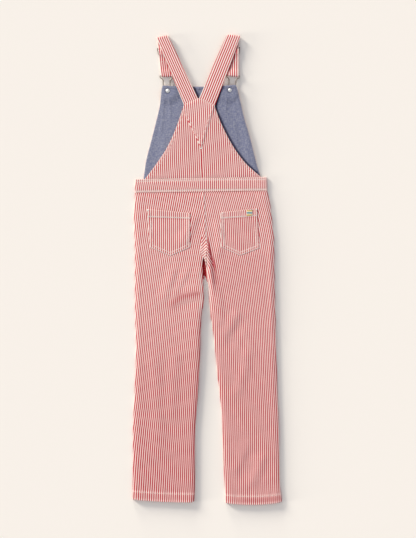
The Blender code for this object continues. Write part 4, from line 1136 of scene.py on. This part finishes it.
# Rubbed at its edges and darker along its top; painted shade over its right side, and a painted shadow beside
# the back bib and straps that lie over it
wear_and_light = 0.55 * hump(from_edge, 0.0014) - 0.14 * ease((0.009 - from_top) / 0.002) - 0.09 * ease(x / 0.04)
wear_and_light -= 1.6 * hump(np.maximum(beside - 0.0022, 0.0), 0.0032) * (beside > -0.006)
for fastening in FASTENINGS.values():
    tack_x, tack_y = fastening["button"]
    from_tack = np.hypot(x - tack_x, y - tack_y)
    # A ring of painted shade round each tack, strongest on its left
    around_left = 0.35 + 0.65 * ease((tack_x + 0.002 - x) / 0.004)
    wear_and_light -= 0.8 * around_left * hump(from_tack - 0.0056, 0.0010)
    top -= 0.0005 * hump(from_tack, 0.0075)
lining = cloth("bib_chambray", np.dstack([x, y, top]), np.dstack([x, y, low]), (x, y, wear_and_light), chambray)
in_from_left = np.abs(from_side[60] - LINING_ROW)[:60].argmin()
in_from_right = -1 - np.abs(from_side[60] - LINING_ROW)[::-1][:60].argmin()
rows = [plan[:-6, column] for column in (in_from_left, in_from_right)]
rows.append(plan[-1, 3:-3] - np.array([0.0, LINING_ROW]))
lining_thread = sew("lining_thread", rows, [lining], "blue", thick=0.0006)
lay(lining, "bib_lining", "chambray", plan, [lining_thread])


# --------------------------------------------------------------------------------------------------
# Back bib
# Two halves of striped twill joined down the middle, where one wide red stripe shows, with narrow turned
# edges. A pointed yoke patch covers their top, folded under along its V and topstitched, and takes the
# strap ends.

BACK_BIB_LEFT = [
    (0.2087, -0.1425), (0.2155, -0.1371), (0.2454, -0.1150), (0.2776, -0.0936), (0.3105, -0.0773),
    (0.3429, -0.0651), (0.3780, -0.0531),
]
BACK_BIB_SEAM = [(0.2117, -0.0106), (0.2750, -0.0136), (0.3300, -0.0160), (0.3930, -0.0190)]
YOKE_POINT, YOKE_LEFT, YOKE_RIGHT = (-0.0127, 0.2772), (-0.0564, 0.3666), (0.0184, 0.3750)
YOKE_ENDS = (-0.0531, 0.3776), (0.0179, 0.3751)  # of its upper edge
BIB_AT_WAIST, BIB_AT_STRAPS = 0.0041, 0.0065  # height of the back bib's face at both ends
BACK_BIB_WALL = 0.0013
YOKE_WALL = 0.0010
YOKE_TOP = [(-0.0532, 0.3784), (-0.0202, 0.3930), (-0.0178, 0.3936), (0.0181, 0.3763)]
YOKE_LAP = 0.0010  # how far it laps over the strap ends
YOKE_ROW = 0.0050  # of stitching, in from its folded edges
BIB_HEM = 0.0072  # from the back bib's free edges to the second row of their stitching
DRAWN_IN = 1.06  # how many times closer than the pitch the stripes lie here
WELT = 0.0017  # width of the yoke's folded edge
WELT_DASH = 0.0150  # one light and one dark dash where the stripes cross that fold
SEAM_RED = 0.0038  # width of the red stripe at the centre seam
LESS_WORN_RED, LESS_WORN_CREAM = (0.550, 0.018, 0.034), (0.990, 0.850, 0.785)  # as the straps and yoke are

strap_cotton = striped_cotton("strap_cotton", LESS_WORN_RED, LESS_WORN_CREAM, red_share=0.53)


def back_bib_height(y):
    """Height of the back bib, which climbs from the waistband to the straps."""
    return BIB_AT_WAIST + (BIB_AT_STRAPS - BIB_AT_WAIST) * ease((y - 0.2110) / (0.3930 - 0.2110))


bib_halves = {}
for side, rows in (("left", (BACK_BIB_LEFT, BACK_BIB_SEAM)), ("right", (BACK_BIB_SEAM, BACK_BIB_RIGHT))):
    parts = np.linspace(0.0, 1.0, 150)
    left = edge(rows[0], parts, SEAM / 10 * (side == "right"))
    right = edge(rows[1], parts, -SEAM / 10 * (side == "left"))
    plan, from_left, from_right = across_rows(left, right, [0.0, 0.0006, 0.0013, 0.0021, 0.0030], 0.004, 64)
    plan[0, :, 1] = smooth(BAND_UPPER, plan[0, :, 0]) + SEAM / 2
    plan[-1, :, 1] -= SEAM
    x, y = plan[..., 0], plan[..., 1]
    from_free, from_seam = (from_left, from_right) if side == "left" else (from_right, from_left)
    height = back_bib_height(y)
    z = height + 0.0003 * ripple(x + 0.3 * y, 0.036, 2.0) * ease(from_free / 0.01)
    z += 0.0007 * ease(from_free / 0.012) + 0.0003 * ease((0.0080 - from_free) / 0.0012)
    z -= stitch_groove(from_free - 0.0021, 0.00028) + stitch_groove(from_free - BIB_HEM, 0.0002)
    z -= 0.0007 * (1.0 - ease(from_free / 0.0012)) + 0.0002 * hump(from_seam, 0.0020)
    z -= 0.0006 * (1.0 - ease((y - smooth(BAND_UPPER, x)) / 0.007))
    outer = np.dstack([x, y, z])
    inner = np.dstack([x, y, np.minimum(height - BACK_BIB_WALL + 0.0002, z - 0.0006)])
    from_red = x - smooth(BACK_BIB_SEAM, y)
    on_red = np.clip(from_red, -SEAM_RED / 2, SEAM_RED / 2)
    at_waist = 1.0 - ease((y - 0.2800) / 0.015)
    widened = from_red - on_red + on_red * (STRIPE_PITCH / 2 / SEAM_RED)
    across = DRAWN_IN * (at_waist * widened + (1.0 - at_waist) * from_red)
    half = cloth("bib_half_" + side, outer, inner, (across, y, 0.8 * hump(from_free, 0.0018)), leg_cotton)
    edge_column = 3 if side == "left" else -4
    hem_column = np.abs(from_free[75] - BIB_HEM).argmin()
    stitch_rows = [plan[2:-2, edge_column], plan[2:-2, hem_column]]
    bib_thread = sew("bib_thread_" + side, stitch_rows, [half], "cream", thick=0.0006)
    lay(half, "bib_back_" + side, "striped_cotton", plan, [bib_thread])
    bib_halves[side] = half


def line_from(start, end, x, y):
    """Distance of plan points from the line through two points."""
    run_x, run_y = end[0] - start[0], end[1] - start[1]
    return np.abs((x - start[0]) * run_y - (y - start[1]) * run_x) / math.hypot(run_x, run_y)


v = np.concatenate([np.linspace(0.0, 0.97, 110), [0.980, 0.988]])
left, right = (
    np.stack([np.interp(v, (0.0, bend, 1.0), way) for way in zip(end, corner, YOKE_POINT)], axis=1)
    for bend, end, corner in ((0.12, YOKE_ENDS[0], YOKE_LEFT), (0.01, YOKE_ENDS[1], YOKE_RIGHT))
)
length = np.linalg.norm(right - left, axis=1)[:, None]
near = np.minimum([0.0, 0.0006, WELT - 0.0002, WELT, 0.0028], length * 0.2)
plan = across_rows(left, right, near, near[:, -1:] + 0.0006, 66)[0]
top_edge = np.interp(plan[0, :, 0], *np.array(YOKE_TOP).T) + YOKE_LAP
plan[..., 1] += (top_edge - plan[0, :, 1]) * ((1.0 - v) ** 3)[:, None]
x, y = plan[..., 0], plan[..., 1]
from_left, from_right = line_from(YOKE_LEFT, YOKE_POINT, x, y), line_from(YOKE_RIGHT, YOKE_POINT, x, y)
from_fold = np.minimum(from_left, from_right)
low = back_bib_height(y) + SEAM
z = low + YOKE_WALL + 0.0007 + 0.0004 * ease((0.0068 - from_fold) / 0.001)
z -= 0.0008 * ease(1.0 - v / 0.06)[:, None] + 0.0012 * (1.0 - ease(from_right / 0.004))
z += 0.00025 * ripple(x + 0.4 * y, 0.030, 5.0) - stitch_groove(from_fold - YOKE_ROW, 0.00028)
z -= 0.0006 * (1.0 - ease(from_left / 0.0012))
outer = np.dstack([x, y, z])
inner = np.dstack([x, y, np.minimum(low + 0.0007 * ease(1.0 - v / 0.05)[:, None], z - 0.0003)])
on_welt = (np.arange(x.shape[1]) < 3)[None, :] & (v > 0.34)[:, None]
run_down = np.hypot(x - YOKE_LEFT[0], y - YOKE_LEFT[1]) * STRIPE_PITCH / WELT_DASH
across = np.where(on_welt, run_down, DRAWN_IN * (x - smooth(BACK_BIB_SEAM, y)) + 0.0004)
wear_and_light = 0.6 * hump(from_fold, 0.0015) + 0.3 * hump(from_right, 0.0022) + 0.9 * ease(1.0 - v / 0.04)[:, None]
yoke = cloth("yoke_patch", outer, inner, (across, y, wear_and_light), strap_cotton)
rows = []
for corner, inward_way in ((YOKE_LEFT, (0.897, 0.438)), (YOKE_RIGHT, (-0.953, 0.303))):
    moved = YOKE_ROW * np.array(inward_way)
    rows.append([corner + moved, YOKE_POINT + moved + (0.0, 0.006)])
rows.append(plan[0, 3:-3] - np.array([0.0, 0.0014]))
yoke_thread = sew("yoke_thread", rows, [yoke], "cream", thick=0.0006)
tick = bartack(YOKE_POINT + np.array([0.0, 0.0015]), (0.0045, 0.0028))
under_tick = [yoke, *bib_halves.values()]
tick_thread = sew("yoke_tack", tick, under_tick, "white", long=0.0026, gap=0.0002, thick=0.0009)
lay(yoke, "bib_yoke", "striped_cotton", plan, [yoke_thread, tick_thread])


# --------------------------------------------------------------------------------------------------
# Shoulder straps
# Twill tubes pressed flat and topstitched along both edges. Each is sewn to the back bib, turns over at the
# shoulder, passes behind its slider, goes round the clip's bar, and comes back to be sewn round the slider.

# Seam and shoulder, each with a middle, the way across and a width. How the back part rises, how the
# stripes lie, how deep the painted shadow of the back part is on the front part, and how much painted
# shade the whole front part has
STRAPS = {
    "left": {
        "seam": (-0.0367, 0.3857), "seam_across": (0.917, 0.404), "seam_width": 0.036,
        "turn": (-0.1019, 0.5331), "turn_across": (0.978, 0.206), "turn_width": 0.0265,
        "rise": [(0.0, 0.0060), (0.2, 0.0066), (0.4, 0.0072), (0.75, 0.0070), (1.0, 0.0066)],
        "closeness": 1.06, "phase": 0.0008, "shaded": 1.6, "kept": 0.20,
    },
    "right": {
        "seam": (0.0003, 0.3855), "seam_across": (0.888, -0.459), "seam_width": 0.040,
        "turn": (0.0603, 0.5354), "turn_across": (0.997, -0.078), "turn_width": 0.0325,
        "rise": [(0.0, 0.0060), (0.1, 0.0071), (0.22, 0.0079), (0.45, 0.0074), (0.75, 0.0070), (1.0, 0.0066)],
        "closeness": 0.98, "phase": 0.0015, "shaded": 1.1, "kept": 0.0,
    },
}
STRAP_WALL = 0.0016
STRAP_WIDTH = 0.026  # below the shoulder
STRAP_LOW = STRAP_WALL / 2
TURN_TOP = 0.0066  # height of a strap's middle where it starts to turn over
SLIDER_DROP = 0.030  # from the turned top of the strap to the slider's middle
SLIDER_BAR_AT = 0.0064  # from its middle to its outer bars
WIRE = 0.0011  # radius of the clip's wire
CLIP_HEIGHT = 0.0030  # of the wire's middle
OVER_OUTER, OVER_MIDDLE = 0.0029, 0.0049  # height of a strap on the slider's outer and middle bars
STRAP_LYING = STRAP_LOW + STRAP_WALL + SEAM
STRAP_ROW = 0.0024  # of stitching, in from its edges
STITCHED_TO, TURNED_AT = 0.157, 0.168  # distances along a strap where its rows end and its turn ends
# Distance from the slider's middle, as a multiple of its outer bars', and share of the rise over those bars
SLIDER_WAVE = [(0.0, 0.05), (0.38, 0.3), (0.78, 0.9), (1.0, 1.0), (1.2, 0.95), (1.66, 0.3), (2.2, 0.0)]
# The returning part: distance up from the clip's bar, and height, and then distance below the slider's middle
STRAP_BACK = [(0.008, 0.0047), (0.016, STRAP_LYING + 0.0004), (0.024, STRAP_LYING)]
STRAP_TUCK = [
    (0.0180, STRAP_LYING), (0.0120, STRAP_LYING + 0.0008), (0.0074, OVER_MIDDLE), (0.0, OVER_MIDDLE),
    (-0.0022, OVER_MIDDLE - 0.0004), (-0.0036, OVER_MIDDLE - 0.0012),
]


def unit(way):
    """The same direction with a length of 1."""
    return np.array(way) / np.linalg.norm(way)


def strap_route(side):
    """Rows of a strap's middle, the way across it and its width, from the back bib round to its sewn end."""
    strap = STRAPS[side]
    seam, turn_at, bar = np.array(strap["seam"]), np.array(strap["turn"]), np.array(FASTENINGS[side]["bar"])
    seam_across, turn_across = unit(strap["seam_across"]), unit(strap["turn_across"])
    bar_across = unit(FASTENINGS[side]["across"])
    stations = []
    for t in np.linspace(0.0, 0.98, 13):
        across = seam_across + (turn_across - seam_across) * t
        width = strap["seam_width"] + (strap["turn_width"] - strap["seam_width"]) * t
        stations.append((*(seam + (turn_at - seam) * t), smooth(strap["rise"], t), *across, width))
    ahead = np.array([-turn_across[1], turn_across[0]])
    radius = (TURN_TOP - STRAP_LOW) / 2
    for angle in np.radians(np.linspace(90.0, -90.0, 9)):
        middle = turn_at + ahead * radius * math.cos(angle)
        height = STRAP_LOW + radius + radius * math.sin(angle)
        width = strap["turn_width"] + (STRAP_WIDTH - strap["turn_width"]) * (0.5 - angle / np.pi)
        stations.append((*middle, height, *turn_across, width))

    length = np.hypot(*(bar - turn_at))

    def lying(at, height):
        """Row of the strap this far from its turned top towards the clip's bar."""
        across = turn_across + (bar_across - turn_across) * at / length
        return (*(turn_at + (bar - turn_at) / length * at), height, *across, STRAP_WIDTH)

    for at, share in [(-at, share) for at, share in SLIDER_WAVE[:0:-1]] + SLIDER_WAVE:
        stations.append(lying(SLIDER_DROP + at * SLIDER_BAR_AT, STRAP_LOW + (OVER_OUTER - STRAP_LOW) * share))
    stations += [lying(at, STRAP_LOW) for at in np.linspace(SLIDER_DROP + 0.028, length, 3)]
    below = np.array([bar_across[1], -bar_across[0]])
    loop = WIRE + SEAM + STRAP_LOW
    for angle in np.radians(np.linspace(-67.5, 90.0, 8)):
        middle = bar + below * loop * math.cos(angle)
        stations.append((*middle, CLIP_HEIGHT + loop * math.sin(angle), *bar_across, STRAP_WIDTH))
    stations += [lying(length - at, height) for at, height in STRAP_BACK]
    stations += [lying(SLIDER_DROP + at, height) for at, height in STRAP_TUCK]
    return np.array(stations)


for side, strap in STRAPS.items():
    stations = strap_route(side)
    run = travelled(stations[:, :3])
    at = np.linspace(0.0, run[-1], 330)
    finer = np.stack([smooth(list(zip(run, column)), at) for column in stations.T], axis=1)
    middle, across, width = finer[:, :3], finer[:, 3:5], finer[:, 5:6]
    across = np.pad(across / np.linalg.norm(across, axis=1)[:, None], ((0, 0), (0, 1)))
    normal = np.cross(across, np.gradient(middle, axis=0))
    normal /= np.linalg.norm(normal, axis=1)[:, None]
    column = np.array([1.0, 0.985, 0.955, 0.90, 0.86, 0.82, 0.78, 0.70, 0.50, 0.25])
    column = np.concatenate([-column, [0.0], column[::-1]])
    off_middle = column * width / 2
    from_side = width / 2 - np.abs(off_middle)
    # Pressed thin at both edges, and drawn down along the stitching
    half_wall = STRAP_WALL / 2 * (1.0 - 0.65 * (1.0 - ease(from_side / 0.0014)))
    half_wall += 0.0002 * ease((from_side - 0.004) / 0.006) - stitch_groove(from_side - STRAP_ROW, 0.00022)
    half_wall += 0.00010 * ripple(at, 0.017, 2.0)[:, None] * hump(from_side - 0.003, 0.003)
    line = middle[:, None] + across[:, None] * off_middle[..., None]
    face = line + normal[:, None] * half_wall[..., None]
    face[..., 2] = np.maximum(face[..., 2], 0.0)
    reverse = line - normal[:, None] * np.minimum(half_wall, STRAP_WALL / 2)[..., None]

    # Paler at its edges. Painted shade over the whole front part, a painted shadow where the back part shades
    # the front part, and a painted shadow along the back part's right edge
    seam_end = np.array(strap["seam"]) + unit(strap["seam_across"]) * strap["seam_width"] / 2
    turn_end = np.array(strap["turn"]) + unit(strap["turn_across"]) * strap["turn_width"] / 2
    way = unit(turn_end - seam_end)
    beside = (line[..., 0] - seam_end[0]) * way[1] - (line[..., 1] - seam_end[1]) * way[0]
    in_front = ease((at - TURNED_AT) / 0.004)[:, None]
    wear_and_light = 0.8 * hump(from_side, 0.0016) + 0.35 * hump(from_side - STRAP_ROW, 0.001)
    wear_and_light = wear_and_light - strap["kept"] * in_front
    wear_and_light -= strap["shaded"] * in_front * (beside > -0.004) * hump(np.maximum(beside - 0.001, 0.0), 0.0026)
    wear_and_light -= 1.6 * hump(width / 2 - off_middle, 0.0010) * ease((0.150 - at) / 0.01)[:, None]
    grain = (off_middle * strap["closeness"] + strap["phase"], at[:, None], wear_and_light)
    webbing = cloth("shoulder_strap_" + side, face, reverse, grain, strap_cotton)
    rows = [line[at < STITCHED_TO][3:-3, k, :2] for k in (4, -5)]
    strap_thread = sew("strap_thread_" + side, rows, [webbing], "cream", thick=0.0006)
    turn_at, turn_across = np.array(strap["turn"]), unit(strap["turn_across"])
    end_at = turn_at + unit(np.array(FASTENINGS[side]["bar"]) - turn_at) * 0.0540
    ends = [[end_at - turn_across * 0.0120, end_at + turn_across * 0.0120]]
    end_thread = sew("strap_end_thread_" + side, ends, [webbing], "cream", below=0.0056)
    fasten(webbing, "striped_cotton", "strap_" + side)


# --------------------------------------------------------------------------------------------------
# Sliders
# Cast metal sliders with a dark bronzed finish, rubbed brown along their edges. The straps thread over
# their outer bars.

BRONZE, RUBBED = (0.060, 0.018, 0.014), (0.26, 0.12, 0.07)
SLIDER_CLEAR = 0.0132  # half the width that stays clear for the strap
SLIM = 0.55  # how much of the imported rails' width the cast ones have

bronzed, tree = blank_material("bronzed")
mottled = noise(tree, 420.0, 4.0)
edges = node(tree, "ShaderNodeNewGeometry").outputs["Pointiness"]
rubbed = times(tree, stepped(tree, edges, 0.50, 0.56), mottled)
dulled = {"Value": mottled, "To Min": 0.38, "To Max": 0.60}
surface(
    tree,
    {
        "Base Color": mixed(tree, rubbed, (*BRONZE, 1.0), (*RUBBED, 1.0)), "Metallic": 0.55,
        "Roughness": node(tree, "ShaderNodeMapRange", dulled).outputs["Result"],
        "Normal": relief(tree, mottled, 0.25, 0.0001),
    },
)

for side, strap in STRAPS.items():
    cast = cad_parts["slider_" + side]
    buckle = placed("buckle_" + side, cast.data.copy())
    buckle.matrix_world = cast.matrix_world
    turn_at, across = np.array(strap["turn"]), unit(strap["turn_across"])
    centre = turn_at + unit(np.array(FASTENINGS[side]["bar"]) - turn_at) * SLIDER_DROP
    for vertex in buckle.data.vertices:
        out = float((np.array(vertex.co[:2]) - centre) @ across)
        beyond = max(abs(out) - SLIDER_CLEAR, 0.0) * (1.0 - SLIM)
        vertex.co.xy -= Vector(across * math.copysign(beyond, out))
    buckle.data.materials.clear()
    buckle.data.materials.append(bronzed)
    rounded = buckle.modifiers.new("rounded_edges", "BEVEL")
    rounded.width = 0.00035
    rounded.segments = 3
    rounded.limit_method = "ANGLE"
    rounded.angle_limit = math.radians(50)
    buckle.data.shade_smooth()
    buckle.data.set_sharp_from_angle(angle=math.radians(40))
    fasten(buckle, "bronzed_metal", "slider_" + side)


# --------------------------------------------------------------------------------------------------
# Wire clips
# Bent from nickel-plated wire: a bar for the strap, shoulders that turn in, and a long loop under the bib,
# which hooks behind the button's head.

# The wire's base is painted darker and browner than clean nickel, a painted reflection of the dark edges it
# shows; its tarnish clouds are real wear
DARKENED_NICKEL, TARNISH = (0.42, 0.35, 0.30), (0.16, 0.11, 0.085)
NECK, SHOULDER, CLIP_TIP = 0.0079, 0.0152, 0.0020
CLIP_BEND = [
    (0.0132, CLIP_LENGTH), (0.0147, 0.0350), (SHOULDER, 0.0338), (0.0150, 0.0322), (0.0136, 0.0304),
    (0.0108, 0.0286), (0.0090, 0.0266), (0.0081, 0.0240), (NECK, 0.0200), (NECK, 0.0080),
]

# Plated metal, tarnished and duller in clouds, with the fine marks of handling
handled_plate, given, put = new_group(
    "handled_plate",
    {"Clean": "Color", "Tarnish": "Color", "Smoothest": "Float", "Roughest": "Float"},
    {"Color": "Color", "Roughness": "Float", "Height": "Float"},
)
cloudy = noise(handled_plate, 260.0, 4.0)
clouds = stepped(handled_plate, cloudy, 0.45, 0.75)
handled_plate.links.new(mixed(handled_plate, clouds, given["Clean"], given["Tarnish"]), put["Color"])
dulled = {"Value": cloudy, "To Min": given["Smoothest"], "To Max": given["Roughest"]}
handled_plate.links.new(node(handled_plate, "ShaderNodeMapRange", dulled).outputs["Result"], put["Roughness"])
handled_plate.links.new(noise(handled_plate, 2400.0), put["Height"])


def nickel_plate(name, clean, tarnish, smoothest, roughest):
    """Satin nickel, clouded where it has been handled."""
    material, tree = blank_material(name)
    colours = {"Clean": (*clean, 1.0), "Tarnish": (*tarnish, 1.0)}
    plate = grouped(tree, handled_plate, {**colours, "Smoothest": smoothest, "Roughest": roughest})
    finish = {"Base Color": plate["Color"], "Metallic": 1.0, "Roughness": plate["Roughness"]}
    surface(tree, {**finish, "Normal": relief(tree, plate["Height"], 0.12, 0.00005)})
    return material


wire_nickel = nickel_plate("wire_nickel", DARKENED_NICKEL, TARNISH, 0.20, 0.42)

for side in STRAPS:
    foot, up = clip_axis(side)
    arc = [(NECK * math.cos(a), -CLIP_TIP - NECK * math.sin(a)) for a in np.radians((0.0, 30.0, 60.0))]
    right = [(0.0060, CLIP_LENGTH), *CLIP_BEND, *arc]
    outline = [*right, (0.0, -CLIP_TIP - NECK), *[(-x, y) for x, y in right[::-1]]]
    data = bpy.data.curves.new("wire_clip_" + side, "CURVE")
    data.dimensions = "3D"
    data.bevel_depth = WIRE
    data.bevel_resolution = 5
    data.resolution_u = 8
    spline = data.splines.new("BEZIER")
    spline.use_cyclic_u = True
    spline.bezier_points.add(len(outline) - 1)
    for point, (x, y) in zip(spline.bezier_points, outline):
        point.co = (x, y, 0.0)
        point.handle_left_type = point.handle_right_type = "AUTO"
    data.materials.append(wire_nickel)
    wire = placed("wire_clip_" + side, data)
    wire.location = (*foot, CLIP_HEIGHT)
    wire.rotation_euler.z = -math.atan2(up[0], up[1])
    fasten(wire, "nickel", "clip_" + side)


# --------------------------------------------------------------------------------------------------
# Tack buttons
# Stamped nickel buttons on the front of the bib, under its upper corners. Each is riveted through the bib by
# a tack, whose domed head shows on the lining.

TACK_RADIUS = 0.0047
TACK_PROFILE = [  # share of the radius, and height
    (0.0, 0.0), (1.0, 0.0), (1.0, 0.00025), (0.97, 0.00045), (0.90, 0.00062), (0.80, 0.00072),
    (0.74, 0.00074), (0.70, 0.00070), (0.64, 0.00086), (0.52, 0.00112), (0.36, 0.00132), (0.18, 0.00143),
    (0.0, 0.00146),
]
TACK_SIDES = 40
BRIGHT, DULL = (0.92, 0.90, 0.87), (0.70, 0.67, 0.63)

button_nickel = nickel_plate("button_nickel", BRIGHT, DULL, 0.34, 0.52)

for side, fastening in FASTENINGS.items():
    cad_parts["button_" + side].material_slots[0].material = button_nickel
    around = np.linspace(0.0, math.tau, TACK_SIDES, endpoint=False)
    ring = np.stack([np.cos(around), np.sin(around), 0 * around], axis=1) * TACK_RADIUS
    foot = np.array([*fastening["button"], BIB_LIFT + BIB_WALL + LINING_WALL + 2 * SEAM])
    rings = [foot + ring * share + (0.0, 0.0, height) for share, height in TACK_PROFILE[1:-1]]
    points = [foot, *np.concatenate(rings), foot + (0.0, 0.0, TACK_PROFILE[-1][1])]
    number = 1 + np.arange(len(rings) * TACK_SIDES).reshape(len(rings), TACK_SIDES)
    after = np.roll(number, -1, axis=1)
    faces = [(0, second, first) for first, second in zip(number[0], after[0])]
    faces += between_rings(number).tolist()
    faces += [(first, second, len(points) - 1) for first, second in zip(number[-1], after[-1])]
    tack = new_piece("tack_" + side, points, faces, button_nickel, 50)
    fasten(tack, "nickel", "rivet_" + side)
